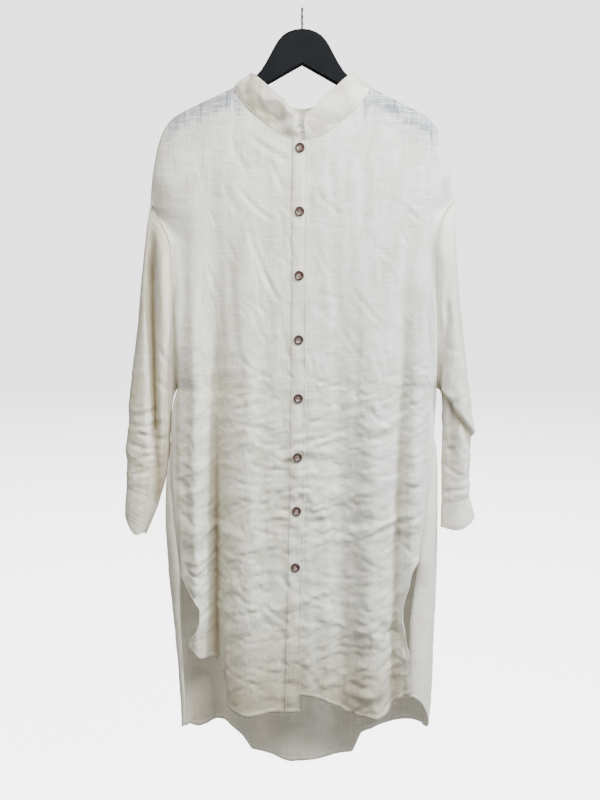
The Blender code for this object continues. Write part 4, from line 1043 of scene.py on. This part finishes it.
right_half, right_places = back_half(RIGHT)
left_half, left_places = back_half(LEFT)
back_points = np.concatenate((right_half[:, ::-1], left_half[:, 1:]), axis=1)
back_share = np.concatenate((right_places[::-1], left_places[1:])) / SHOULDER_REACH
back_drop = -back_points[..., 2]
back_slit = np.where(back_points[..., 0] < 0.0, SLIT[RIGHT], SLIT[LEFT])
back_square = outward(back_points)
back_near, back_far = cloth_lengths(back_points)
edge_run = np.minimum(back_near[..., 0], back_far[..., 0]) * 1000.0
back_calm = edge_calm(back_drop, back_slit, edge_run, 24.0)
back_turned = turnings(back_drop, back_slit, back_far[..., 1] * 1000.0, edge_run)
back_level = len(back_points) // 2
back_run = (back_near[back_level, :, 0] * 1000.0)[None, :] + 0.0 * back_drop
back_run = back_run - back_run[:, BACK_HALF_COLUMNS - 1:BACK_HALF_COLUMNS]
side_calm = 1.0 - 0.75 * ease((back_share - 0.80) / 0.10)[None, :]
back_lift = back_relief(back_points[..., 0], back_drop, back_run) * back_calm * side_calm
back_lift = back_lift + 0.4 * back_turned
# The hanger painted showing through the back's shoulders, a little weaker
back_tint = hanger_tint(back_points[..., 0], back_drop, back_drop[:1], 0.95)
back_cloth = drawn_in(
    back_points + back_square * back_lift[..., None], SEAM_GAP, ("top", "first", "last")
)
# The back's glow is painted light: it lifts the whole back, most visibly on its dark inside
back_linen = linen(
    "back_linen", (0.82, 0.79, 0.70, 1.0), (0.72, 0.67, 0.55, 1.0), glow=0.12,
    rows=(
        ("from_far", 1, HEM_STITCH, 0.0, 0.8), ("from_far", 1, 0.0088, 0.0, 0.8),
        ("from_far", 0, EDGE_STITCH, 0.0, 0.27), ("cloth", 0, EDGE_STITCH, 0.91, 1.5),
    ),
)
# Painted shade on the back, on both its faces: towards its hem away from the side strips, and stronger in
# the lower corner on the wearer's right, seen under the right front's flap
back_painted_shade = 0.32 * ease((back_drop - 990.0) / 170.0) * ease((1.0 - back_share[None, :]) / 0.2)
corner = ease((-100.0 - back_points[..., 0]) / 45.0) * ease((back_points[..., 0] + 206.0) / 14.0)
back_painted_shade = np.maximum(back_painted_shade, 0.62 * corner * ease((back_drop - 1020.0) / 90.0))
back = cloth_shell("back", back_cloth, back_linen, sheer=back_tint, deep=back_painted_shade, level=True)
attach(back, "root")
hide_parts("back")


# Sleeves: each is one piece, set into a dropped armhole and closed down the underarm. They hang
# from the shoulder with the arm's fullness folded flat, one deep fold down the front and one
# down the back, and crushed above the cuff.

SLEEVES = {
    RIGHT: table(
        "along outer_x outer_drop inner_x inner_drop half_depth",
        (0.00, 245, 306, 205, 597, 27), (0.10, 250, 330, 209, 602, 30),
        (0.20, 255, 370, 213.5, 614, 32), (0.30, 261, 420, 216.5, 633, 32),
        (0.45, 270, 500, 218.5, 662, 32), (0.60, 281, 577, 220.5, 692, 30),
        (0.80, 291, 672, 227, 741, 27), (1.00, 294, 762, 243, 797, 22),
    ),
    LEFT: table(
        "along outer_x outer_drop inner_x inner_drop half_depth",
        (0.00, 245, 290, 222, 597, 27), (0.10, 247, 316, 229, 602, 30),
        (0.20, 249, 360, 233, 614, 32), (0.35, 254, 435, 235, 640, 34),
        (0.55, 265, 538, 235, 684, 33), (0.70, 273, 616, 235, 718, 30),
        (0.85, 281, 700, 235, 755, 27), (1.00, 281, 780, 237, 792, 23),
    ),
}
# Long folds: on the front (-1) or back (1), distance across at the top and at the cuff
SLEEVE_FOLDS = {
    RIGHT: table(
        "face x_top x_cuff width push begins ends",
        (-1, 242, 244, 7, -20, 318, 730), (-1, 222, 222, 8, 5, 330, 600),
        (-1, 242, 242, 6, -6, 640, 810), (1, 245, 262, 9, -10, 400, 780),
    ),
    LEFT: table(
        "face x_top x_cuff width push begins ends",
        (-1, 246, 248, 8, -9, 560, 780), (-1, 248, 262, 6, -3, 350, 560),
        (1, 248, 260, 9, -10, 400, 780),
    ),
}
SLEEVE_CREASES = {
    RIGHT: table(
        "x0 d0 x1 d1 width depth bow",
        (-278, 642, -239, 631, 4, 1.4, 2), (-278, 659, -229, 653, 4, 1.5, 2),
        (-282, 690, -235, 698, 4, 1.5, 2), (-280, 718, -240, 703, 4, 1.4, 2),
        (-286, 741, -247, 732, 4, 1.3, 2), (-270, 670, -225, 681, 4, 1.3, 2),
        (-243, 363, -248, 500, 5, 1.6, 3), (-231, 532, -206, 568, 4, 1.4, 2),
        (-237, 581, -213, 601, 4, 1.3, 2), (-277, 783, -250, 794, 4, 1.0, 1),
    ),
    LEFT: table(
        "x0 d0 x1 d1 width depth bow",
        (233, 681, 256, 710, 4, 1.5, 2), (237, 727, 268, 744, 4, 1.5, 2),
        (233, 771, 275, 783, 4, 1.4, 2), (236, 770, 280, 764, 4, 1.2, 2),
        (229, 451, 243, 500, 5, 1.3, 2), (234, 524, 254, 535, 4, 1.2, 1),
        (236, 419, 236, 516, 5, 1.2, 2), (248, 560, 262, 600, 5, 1.4, 2),
        (262, 640, 276, 700, 4, 1.6, 2),
    ),
}
SLEEVE_COLUMNS = 121
SLEEVE_ROWS = 230
SLEEVE_FOLD_TOP = 300.0
SLEEVE_FOLD_LENGTH = 500.0
FOLD_FADE = 90.0


def sleeve_turn(turn):
    """Side of the sleeve, step down it and shares across and out, at a turn from 0 to 2."""
    face = np.where(turn <= 1.0, -1.0, 1.0)
    half = np.where(turn <= 1.0, turn, 2.0 - turn)
    across = (1.0 - np.cos(math.pi * half)) / 2.0
    deep = np.clip(np.sin(math.pi * half), 0.0, 1.0) ** 0.8
    return face, half ** (1.0 / 0.55), across, deep


def sleeve_fold(x_top, x_cuff, width, begins, ends, x, drop):
    """Nearness to a sleeve's long fold or hollow, which fades at both ends."""
    length = ease((drop - begins) / FOLD_FADE) * ease((ends - drop) / FOLD_FADE)
    near = beside_fold(x_top, x_cuff, width, x, drop, SLEEVE_FOLD_TOP, SLEEVE_FOLD_LENGTH)
    return length * near


def sleeve_place(side, turn, along):
    """Points of a sleeve: outer fold at turn 0, underarm at 1, and up the back to 2."""
    face, step, across, deep = sleeve_turn(turn)

    def section(at):
        rows = SLEEVES[side]
        outer, inner = follow(rows, "along", "outer_x", at), follow(rows, "along", "inner_x", at)
        high, low = follow(rows, "along", "outer_drop", at), follow(rows, "along", "inner_drop", at)
        depth = follow(rows, "along", "half_depth", at) * deep
        return np.stack(np.broadcast_arrays(
            side * (outer + (inner - outer) * across), face * depth, -(high + (low - high) * step)
        ), axis=-1)

    end = SHOULDERS["right" if side == RIGHT else "left"][-1]
    arm_drop = end + (UNDERARM - end) * step
    arm_depth = face * follow(ARMHOLES[side], "drop", "half_depth", arm_drop)
    armhole = np.stack(np.broadcast_arrays(
        side * follow(ARMHOLES[side], "drop", "reach", arm_drop), arm_depth, -arm_drop
    ), axis=-1)
    settle = ((1.0 - along) ** 5)[..., None]
    points = section(along) + (armhole - section(np.zeros(1))) * settle
    for fold_face, x_top, x_cuff, width, push, begins, ends in zip(*SLEEVE_FOLDS[side].values()):
        x, drop = abs(points[..., 0]), -points[..., 2]
        amount = sleeve_fold(x_top, x_cuff, width, begins, ends, x, drop) * ease(along / 0.08)
        shown = np.minimum(deep * 1.3, 1.0) * (face == fold_face)
        points[..., 1] += push * amount * shown * face
    return points


# Painted shade in the hollows of the sleeves: distance across at the top and at the cuff, width and share
SLEEVE_PAINTED_SHADE = {
    RIGHT: table(
        "x_top x_cuff width share begins ends",
        (241, 244, 6, 0.85, 318, 740), (236, 240, 9, 0.60, 540, 860),
    ),
    LEFT: table(
        "x_top x_cuff width share begins ends",
        (250, 262, 6, 0.16, 350, 600), (246, 248, 6, 0.30, 600, 800),
    ),
}
# Painted shade along the armhole seam, on the front of each sleeve
SEAM_PAINTED_SHADE = {RIGHT: 0.22, LEFT: 0.62}
# The slanting fold low on the left sleeve: its ends, its step, its run above and its painted shade
OVERHANG = (221.0, 576.0, 274.0, 665.0)
OVERHANG_STEP = 9.0
OVERHANG_RUN = 45.0
OVERHANG_SHADE = 0.8


def below_overhang(x, drop):
    """Distance below the slanting fold where the left sleeve's upper part hangs over."""
    x0, y0, x1, y1 = OVERHANG
    return ((drop - y0) * (x1 - x0) - (x - x0) * (y1 - y0)) / math.hypot(x1 - x0, y1 - y0)


def painted_sleeve_shade(side, points, turn):
    """How much painted shade each place on the front of a sleeve gets, for the colour there: along the
    armhole seam, in its hollows and under the left sleeve's overhang.
    """
    face = sleeve_turn(turn)[0]
    x, drop = abs(points[..., 0]), -points[..., 2]
    total = SEAM_PAINTED_SHADE[side] * np.exp(-(((x - reach(side, drop)) / 4.5) ** 2)) * (drop < 700.0)
    for x_top, x_cuff, width, share, begins, ends in zip(*SLEEVE_PAINTED_SHADE[side].values()):
        near = sleeve_fold(x_top, x_cuff, width, begins, ends, x, drop)
        total = np.maximum(total, share * near)
    if side == LEFT:
        below = below_overhang(points[..., 0], drop)
        total = np.maximum(total, OVERHANG_SHADE * np.exp(-(((below - 4.0) / 5.0) ** 2)))
    return total * (face < 0.0)


def sleeve_relief(side, points, turn):
    """Creases of a sleeve, front and back each with its own."""
    x, drop = points[..., 0], -points[..., 2]
    low = 0.15 + 0.85 * ease((drop - 540.0) / 130.0)
    front = creases(x, drop, SLEEVE_CREASES[side])
    reliefs = []
    for seed in (211 + side, 261 + side):
        relief = creases(x, drop, scattered(
            seed, 60, (side * 255 - 40, side * 255 + 40, 330, 800), (0.1 * side, 0.4),
            (14, 42), (2.8, 4.4), (0.25, 0.8))) * (0.3 + 0.7 * low)
        relief += 2.2 * low * facets(x, drop, 30.0, 24.0, seed + 5)
        relief += 1.0 * low * facets(x, drop, 15.0, 12.0, seed + 9)
        reliefs.append(relief + 1.0 * swell(x, drop, 14.0, 120.0, seed + 13))
    if side == LEFT:
        below = below_overhang(x, drop)
        hung = np.exp(np.minimum(below, 0.0) / OVERHANG_RUN) * ease((3.0 - below) / 5.0)
        front = front + OVERHANG_STEP * hung
    is_back = ease((turn - 0.96) / 0.08) * ease((2.0 - turn) / 0.08)
    beside_body = 1.0 - 0.85 * np.exp(-(((turn - 1.0) / 0.12) ** 2))
    return ((reliefs[0] + front) * (1.0 - is_back) + reliefs[1] * is_back) * beside_body


# Cloth and shade of each sleeve and cuff: the right arm's colours are warmer, painted light that stands
# in for the warmer light falling on it
ARM_LINEN = {
    RIGHT: ((0.855, 0.815, 0.69, 1.0), (0.70, 0.63, 0.45, 1.0)),
    LEFT: ((0.88, 0.865, 0.79, 1.0), (0.72, 0.675, 0.54, 1.0)),
}


def finished_sleeve(side, name):
    fine = np.linspace(0.0, 2.0, 3000)
    ring = sleeve_place(side, fine, np.full(fine.shape, 0.45))
    turn = evenly(fine, ring[:, 0], ring[:, 1], SLEEVE_COLUMNS)[None, :]
    along = np.linspace(0.0, 1.0, SLEEVE_ROWS)[:, None] ** 1.1
    turn, along = np.broadcast_arrays(turn, along)
    points = sleeve_place(side, turn, along)
    square = facing_front(outward(points, closed=True), SLEEVE_ROWS // 2, SLEEVE_COLUMNS // 4)
    near, far = cloth_lengths(points)
    calm = ease(near[..., 1] * 1000.0 / 20.0) * (0.3 + 0.7 * ease(far[..., 1] * 1000.0 / 14.0))
    relief = sleeve_relief(side, points, turn) * calm
    relief[:, -1] = relief[:, 0]
    # Painted shade on the sleeve's front
    deep = painted_sleeve_shade(side, points, turn)
    points = drawn_in(points + square * relief[..., None], SEAM_GAP, ("top", "foot"))
    points[:, -1] = points[:, 0]
    if side == LEFT:
        points, deep = points[:, ::-1], deep[:, ::-1]
    cloth = linen(name + "_linen", *ARM_LINEN[side], rows=(("cloth", 1, 0.004, 0.0, WHOLE_RUN),))
    piece = cloth_shell(name, points, cloth, closed=True, deep=deep)
    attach(piece, "root")
    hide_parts(name)


finished_sleeve(RIGHT, "sleeve_right")
finished_sleeve(LEFT, "sleeve_left")


# Cuffs: a narrow doubled band closes each sleeve. Two layers of the same linen, turned to the
# right side and topstitched along both edges, a little flattened as it hangs.

CUFFS = table(
    "side outer_x outer_drop inner_x inner_drop half_depth sag",
    (-1, 298, 812, 265, 848, 20, 20), (1, 291, 816, 236, 836, 24, 12),
)
CUFF_ROWS = 34
CUFF_COLUMNS = 121


def finished_cuff(side, name):
    row = {key: values[0 if side == RIGHT else 1] for key, values in CUFFS.items()}
    turn = np.linspace(0.0, 2.0, CUFF_COLUMNS)
    face, step, across, deep = sleeve_turn(turn)
    drop = row["outer_drop"] + (row["inner_drop"] - row["outer_drop"]) * step
    drop = drop + row["sag"] * np.sin(math.pi * across)
    x = side * (row["outer_x"] + (row["inner_x"] - row["outer_x"]) * across)
    hem = np.stack((x, face * row["half_depth"] * deep, -drop), axis=-1)
    seam = sleeve_place(side, turn, np.ones(turn.shape))
    share = np.linspace(0.0, 1.0, CUFF_ROWS)[:, None, None]
    points = seam + (hem - seam) * share
    square = facing_front(outward(points, closed=True), CUFF_ROWS // 2, CUFF_COLUMNS // 4)
    u, v = points[..., 0], -points[..., 2]
    relief = 1.3 * facets(u + 300.0 * face, v, 26.0, 18.0, 311 + side)
    relief += 0.6 * np.sin(math.pi * share[..., 0])
    calm = ease(share[..., 0] / 0.2) * (0.5 + 0.5 * ease((1.0 - share[..., 0]) / 0.2))
    relief = relief * calm * np.sin(math.pi * (turn % 1.0)) ** 0.5
    points = drawn_in(points + square * relief[..., None], SEAM_GAP, ("top",))
    points[:, -1] = points[:, 0]
    if side == LEFT:
        points = points[:, ::-1]
    cloth = linen(
        name + "_linen", *ARM_LINEN[side],
        rows=(("cloth", 1, 0.003, 0.0, WHOLE_RUN), ("from_far", 1, 0.004, 0.0, WHOLE_RUN)),
    )
    piece = cloth_shell(name, points, cloth, thickness=1.5, closed=True)
    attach(piece, "root")
    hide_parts(name)


finished_cuff(RIGHT, "cuff_right")
finished_cuff(LEFT, "cuff_left")


# Collar: a stand of doubled linen that runs round the neck from the button band to the
# underlap, pressed smooth so that it has a soft sheen, and topstitched close to both edges.

COLLAR_STAND = table(
    "x front_inward front_rise back_inward back_rise",
    (0, -5, 31, 0, 39), (8, 6, 30, 2, 39), (20, 17, 27, 5, 40), (40, 29, 31, 11, 41),
    (62, 29, 36, 17, 39), (85, 28, 38, 23, 37), (100, 28, 33, 27, 31), (109, 29, 23, 29, 23),
)
COLLAR_MOUTH = {"front": -37.0, "back": 44.0}
COLLAR_ROWS = 30
COLLAR_CLOTH = 1.4
COLLAR_CREASES = table(
    "x0 d0 x1 d1 width depth bow",
    (22, 6, 40, 34, 6, 1.3, 2), (58, 2, 70, 38, 7, 1.4, 3), (92, 8, 104, 36, 6, 1.0, 2),
    (120, 4, 128, 30, 5, 0.8, 1), (212, 6, 236, 30, 6, 0.9, 2), (292, 10, 276, 36, 6, 1.1, 2),
    (330, 4, 318, 36, 7, 1.4, 3), (362, 4, 350, 32, 6, 1.2, 2), (384, 8, 374, 30, 5, 0.9, 1),
)


def neck_seam(side, x, face):
    """Points of the neck seam, where the collar is sewn to the body."""
    drop = top_line(side, x, face)
    place = front_place if face == "front" else back_place
    across, forward = place(side, abs(x), drop)
    return np.stack((across, forward, -drop), axis=-1)


def collar_edge(seam, x, face):
    """Points of the collar's upper edge above a stretch of the neck seam."""
    inward = follow(COLLAR_STAND, "x", face + "_inward", abs(x))
    rise = follow(COLLAR_STAND, "x", face + "_rise", abs(x))
    top_x = np.sign(seam[:, 0]) * (abs(seam[:, 0]) - inward)
    depth = COLLAR_MOUTH[face] * np.sqrt(np.clip(1.0 - (top_x / 80.0) ** 2, 0.0, 1.0))
    return np.stack((top_x, depth, seam[:, 2] + rise), axis=-1)


collar_runs = (
    (RIGHT, np.linspace(3.0, 109.0, 76), "front"), (RIGHT, np.linspace(109.0, 0.0, 70)[1:], "back"),
    (LEFT, np.linspace(0.0, 109.0, 70)[1:], "back"), (LEFT, np.linspace(109.0, 5.0, 74)[1:], "front"),
)
seams = [neck_seam(side, x, face) for side, x, face in collar_runs]
edges = [collar_edge(seam, x, face) for seam, (side, x, face) in zip(seams, collar_runs)]
collar_seam, collar_upper = np.concatenate(seams), np.concatenate(edges)
collar_share = np.linspace(1.0, 0.0, COLLAR_ROWS)[:, None, None]
collar_flat = collar_seam + (collar_upper - collar_seam) * collar_share
swollen = 1.5 * np.sin(math.pi * collar_share[..., 0]) * np.clip(collar_flat[..., 1] / 8.0, -1.0, 1.0)
collar_flat[..., 1] += swollen
collar_square = outward(collar_flat)
collar_near, collar_far = cloth_lengths(collar_flat)
collar_u, collar_v = collar_near[..., 0] * 1000.0, collar_near[..., 1] * 1000.0
collar_lift = creases(collar_u, collar_v, COLLAR_CREASES)
collar_lift += 3.2 * facets(collar_u, collar_v, 24.0, 30.0, 411)
collar_lift *= ease(collar_far[..., 1] * 1000.0 / 9.0) * (0.35 + 0.65 * ease(collar_v / 8.0))
collar_points = drawn_in(collar_flat + collar_square * collar_lift[..., None], SEAM_GAP, ("foot",))
collar_linen = linen(
    "collar_linen", (0.89, 0.865, 0.775, 1.0), (0.75, 0.69, 0.55, 1.0),
    rows=(("cloth", 1, 0.003, 0.0, WHOLE_RUN), ("from_far", 1, 0.003, 0.0, WHOLE_RUN)),
    crush=0.4, sheen=0.5, roughness_shift=-0.18,
)
# Painted shade in patches placed at random over the collar, standing in for the shade between its
# lustrous facets
collar_painted_shade = 0.5 * ease(swell(collar_u + 0.8 * collar_v, collar_v, 17.0, 40.0, 421) * 1.6)
collar_band = cloth_shell("collar_band", collar_points, collar_linen, thickness=COLLAR_CLOTH,
                          deep=collar_painted_shade)
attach(collar_band, "root")
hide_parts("collar_band")


# Button band: a folded strip of the same linen down the edge of the right front, stitched
# along its inner side. It carries the buttonholes and keeps the edge straight.

BAND_WIDTH = 24.0
BAND_CLOTH = 0.8
BAND_LIFT = 1.25
BAND_COLUMNS = 19

band_free = free_edge(RIGHT)
band_places = np.linspace(band_free, band_free + BAND_WIDTH, BAND_COLUMNS)
band_hem = follow(
    FRONT_HEMS[RIGHT], "x", "drop", RIGHT * front_place(RIGHT, band_places, HEM_PROBE)[0]
)
band_drop = panel_drops(
    top_line(RIGHT, band_places, "front"), SLIT[RIGHT], band_hem, panel_levels(PANEL_ROWS)
)
band_x, band_y = front_place(RIGHT, band_places[None, :], band_drop)
band_points = np.stack((band_x, band_y, -band_drop), axis=-1)
band_square = outward(band_points)
band_square = band_square * -np.sign(band_square[..., 1:2])
band_lift = front_relief(band_x, band_drop) * ease((band_drop - band_drop[:1]) / SEAM_CALM)
band_share = np.linspace(0.0, 1.0, BAND_COLUMNS)[None, :]
band_lift = band_lift + BAND_LIFT + 0.9 * ease((0.12 - band_share) / 0.12)
band_lift = band_lift - 0.3 * ease((band_share - 0.85) / 0.15)
band_lift += 0.9 * swell(band_x, band_drop, 18.0, 24.0, 511) * np.sin(math.pi * band_share)
band_cloth = drawn_in(band_points + band_square * band_lift[..., None], SEAM_GAP, ("top",))
band_linen = linen(
    "band_linen", (0.885, 0.872, 0.79, 1.0), (0.71, 0.68, 0.56, 1.0),
    rows=(("from_far", 0, 0.0022, 0.0, WHOLE_RUN), ("from_far", 1, HEM_STITCH, 0.0, 0.03)),
    crush=0.6,
)
# The band takes the fronts' painted shade, in their valleys and towards the hem
placket = cloth_shell(
    "placket", band_cloth, band_linen, thickness=BAND_CLOTH, level=True,
    deep=painted_fold_shade(FRONT_PAINTED_SHADE, band_x, band_drop),
)
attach(placket, "root")
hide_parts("placket")


# Buttons: eight four-hole buttons turned from a dark reddish shell, with a thick rim, a paler
# dished middle and two bars of cream thread. Each is sewn through the band to the underlap.

BUTTON_PROFILE = (
    (6.7, -1.2), (7.3, -0.8), (7.5, -0.2), (7.45, 0.5), (7.1, 1.05), (6.5, 1.38),
    (6.0, 1.36), (5.5, 1.1), (5.1, 0.8), (4.9, 0.62),
)
BUTTON_SIDES = 48
HOLE_RADIUS = 0.8
HOLE_PLACE = 1.45
HOLE_DEPTH = 1.3


def button_shell_material():
    made, tree, shader = start_material("button_shell")
    place = add(tree, "UVMap", {"uv_map": "turned"})
    parts = add(tree, "SeparateXYZ", Vector=place.outputs[0])
    marbled = add(tree, "TexNoise", Vector=place.outputs[0], Scale=900.0, Detail=4.0, Distortion=1.2)
    rim = add(tree, "MapRange", {"clamp": True}, _0=parts.outputs[0], _1=0.0044, _2=0.0058)
    dark = blended(tree, marbled.outputs[0], (0.022, 0.009, 0.007, 1.0), (0.085, 0.036, 0.027, 1.0))
    pale = blended(tree, marbled.outputs[0], (0.075, 0.038, 0.032, 1.0), (0.20, 0.125, 0.11, 1.0))
    colour = blended(tree, rim.outputs[0], pale, dark)
    shine = add(tree, "MapRange", _0=marbled.outputs[0], _3=0.22, _4=0.42)
    ripple = add(tree, "Bump", Height=marbled.outputs[0], Strength=0.25, Distance=0.0003)
    feed(
        tree, shader, Base_Color=colour, Roughness=shine.outputs[0], Normal=ripple.outputs[0],
        Coat_Weight=0.3,
    )
    return made


def grained(name, scale, detail, dark, pale, roughness, strength, distance, cloud=None):
    """Material whose colour, roughness and fine relief follow one grain, or its colour a cloud."""
    made, tree, shader = start_material(name)
    place = add(tree, "TexCoord").outputs["Object"]
    grain = add(tree, "TexNoise", Vector=place, Scale=scale, Detail=detail).outputs[0]
    tone = grain
    if cloud is not None:
        tone = add(tree, "TexNoise", Vector=place, Scale=cloud, Detail=detail).outputs[0]
    bump = add(tree, "Bump", Height=grain, Strength=strength, Distance=distance)
    rough = roughness[0]
    if roughness[1] > roughness[0]:
        rough = add(tree, "MapRange", _0=grain, _3=roughness[0], _4=roughness[1]).outputs[0]
    feed(
        tree, shader, Base_Color=blended(tree, tone, dark, pale), Roughness=rough,
        Normal=bump.outputs[0],
    )
    return made, shader


def turned_button():
    """Button about the origin, its face towards +Z, with four blind holes and its thread."""
    bm = bmesh.new()
    profile = [bm.verts.new((radius, 0.0, height)) for radius, height in BUTTON_PROFILE]
    edges = [bm.edges.new(pair) for pair in zip(profile, profile[1:])]
    bmesh.ops.spin(
        bm, geom=profile + edges, cent=(0, 0, 0), axis=(0, 0, 1), dvec=(0, 0, 0),
        angle=2.0 * math.pi, steps=BUTTON_SIDES, use_merge=True, use_duplicate=False,
    )
    bmesh.ops.remove_doubles(bm, verts=bm.verts, dist=0.001)
    back_rim = [e for e in bm.edges if e.is_boundary and e.verts[0].co.z < -1.0]
    bmesh.ops.holes_fill(bm, edges=back_rim, sides=0)
    face_rim = [e for e in bm.edges if e.is_boundary]
    pits = []
    for x in (-HOLE_PLACE, HOLE_PLACE):
        for y in (-HOLE_PLACE, HOLE_PLACE):
            ring = bmesh.ops.create_circle(
                bm, cap_ends=False, segments=12, radius=HOLE_RADIUS,
                matrix=Matrix.Translation((x, y, BUTTON_PROFILE[-1][1] - 0.1)),
            )["verts"]
            pits.append(list({e for v in ring for e in v.link_edges}))
    bmesh.ops.triangle_fill(
        bm, use_beauty=True, edges=face_rim + [e for pit in pits for e in pit]
    )
    for pit in pits:
        sunk = bmesh.ops.extrude_edge_only(bm, edges=pit)["geom"]
        bottom = [v for v in sunk if isinstance(v, bmesh.types.BMVert)]
        bmesh.ops.translate(bm, vec=(0, 0, -HOLE_DEPTH), verts=bottom)
        bmesh.ops.holes_fill(bm, edges=[e for e in sunk if isinstance(e, bmesh.types.BMEdge)], sides=0)
    bmesh.ops.recalc_face_normals(bm, faces=bm.faces)
    shell_faces = set(bm.faces)
    for y in (-HOLE_PLACE, HOLE_PLACE):
        made = bmesh.ops.create_uvsphere(bm, u_segments=14, v_segments=8, radius=1.0)["verts"]
        bmesh.ops.scale(bm, vec=(HOLE_PLACE + 0.45, 0.42, 0.42), verts=made)
        bmesh.ops.translate(bm, vec=(0.0, y, BUTTON_PROFILE[-1][1] + 0.12), verts=made)
    for face in bm.faces:
        face.material_index = 0 if face in shell_faces else 1
        face.smooth = True
    turned = bm.loops.layers.uv.new("turned")
    for face in bm.faces:
        for loop in face.loops:
            point = loop.vert.co
            radius = math.hypot(point.x, point.y)
            angle = math.atan2(point.y, point.x)
            loop[turned].uv = (radius * 0.001, abs(angle) * 0.0015)
    return bm


def button_place(drop):
    """Where a button lies on the band, as a matrix from the button's own axes, in metres."""
    at = band_free + BAND_WIDTH / 2.0
    x, y = front_place(RIGHT, np.array([at, at, at + 1.0]), np.array([drop - 4.0, drop + 4.0, drop]))
    down = Vector((x[1] - x[0], y[1] - y[0], -8.0)).normalized()
    facing = down.cross(Vector((-1.0, 0.0, 0.0))).normalized()
    facing = -facing if facing.y > 0.0 else facing
    middle = front_place(RIGHT, np.array([at]), np.array([float(drop)]))
    lie = float(front_relief(middle[0][None, :], np.array([[float(drop)]]))[0, 0])
    lift = lie + BAND_LIFT + BAND_CLOTH / 2.0 + 0.25 - BUTTON_PROFILE[0][1]
    centre = (Vector((middle[0][0], middle[1][0], -drop)) + facing * lift) * 0.001
    turn = facing.to_track_quat("Z", "Y").to_matrix().to_4x4()
    return Matrix.Translation(centre) @ turn @ Matrix.Scale(0.001, 4)


button_shell = button_shell_material()
button_thread = grained(
    "button_thread", 2600.0, 2.0, (0.50, 0.44, 0.36, 1.0), (0.86, 0.82, 0.74, 1.0),
    roughness=(0.7, 0.7), strength=0.5, distance=0.0002,
)[0]
for number, drop in enumerate(BUTTON_DROPS, start=1):
    bm = turned_button()
    spun = Matrix.Rotation(0.35 * math.sin(2.4 * number), 4, "Z")
    bmesh.ops.transform(bm, matrix=button_place(drop) @ spun, verts=bm.verts)
    button_mesh = bpy.data.meshes.new(f"button_{number}")
    bm.to_mesh(button_mesh)
    bm.free()
    button_mesh.materials.append(button_shell)
    button_mesh.materials.append(button_thread)
    button = bpy.data.objects.new(f"sewn_button_{number}", button_mesh)
    bpy.context.scene.collection.objects.link(button)
    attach(button, "root")
    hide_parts(f"button_{number}")


# Neck label: a small woven square, left blank, sewn to the inside of the collar at the middle
# of the back along its upper and lower edges.

LABEL_HALF = 11.0
LABEL_COLUMNS = 26
LABEL_ROWS = 28
LABEL_CLOTH = 0.5
LABEL_LIFT = 1.3

label_x = np.linspace(-LABEL_HALF, LABEL_HALF, LABEL_COLUMNS)
label_seam = np.where((label_x < 0.0)[:, None], neck_seam(RIGHT, label_x, "back"),
                      neck_seam(LEFT, label_x, "back"))
label_upper = collar_edge(label_seam, label_x, "back")
label_share = np.linspace(0.58, 0.03, LABEL_ROWS)[:, None, None]
label_points = label_seam + (label_upper - label_seam) * label_share
label_points[..., 1] += 1.5 * np.sin(math.pi * label_share[..., 0]) - LABEL_LIFT
label_points[..., 1] -= 0.3 * swell(label_points[..., 0], label_points[..., 2], 9.0, 8.0, 611)
label_weave, label_tree, label_shader = start_material("label_weave")
label_map = add(label_tree, "UVMap", {"uv_map": "cloth"})
label_group = add(label_tree, "Group", {"node_tree": weave}, Flat=label_map.outputs[0],
                  Thread=(0.36, 0.36, 0.355, 1.0), Shade=(0.22, 0.22, 0.22, 1.0),
                  Pitch=0.00045, Crush=0.1)
label_relief = label_group.outputs["Height"]
label_bump = add(label_tree, "Bump", Height=label_relief, Strength=1.0, Distance=0.0004)
feed(
    label_tree, label_shader, Base_Color=label_group.outputs["Color"],
    Roughness=label_group.outputs["Roughness"], Normal=label_bump.outputs[0],
)
neck_label = cloth_shell("neck_label", label_points, label_weave, thickness=LABEL_CLOTH)
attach(neck_label, "root")
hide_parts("neck_label")


# Hanger: a flat moulded board with sloping arms, painted matt black. Its hook is a plain steel
# wire, blackened, bent to three quarters of a circle and pressed into the board's top.

hanger_paint, hanger_shader = grained(
    "hanger_paint", 1400.0, 3.0, (0.004, 0.0045, 0.006, 1.0), (0.010, 0.011, 0.013, 1.0),
    roughness=(0.48, 0.68), strength=0.4, distance=0.0003, cloud=22.0,
)
hanger_shader.inputs["Specular IOR Level"].default_value = 0.1
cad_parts["hanger_body"].material_slots[0].material = hanger_paint

hook_steel, hook_shader = grained(
    "hook_steel", 900.0, 3.0, (0.05, 0.052, 0.056, 1.0), (0.12, 0.12, 0.125, 1.0),
    roughness=(0.3, 0.5), strength=0.2, distance=0.0001,
)
hook_shader.inputs["Metallic"].default_value = 0.8
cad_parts["hanger_hook"].material_slots[0].material = hook_steel
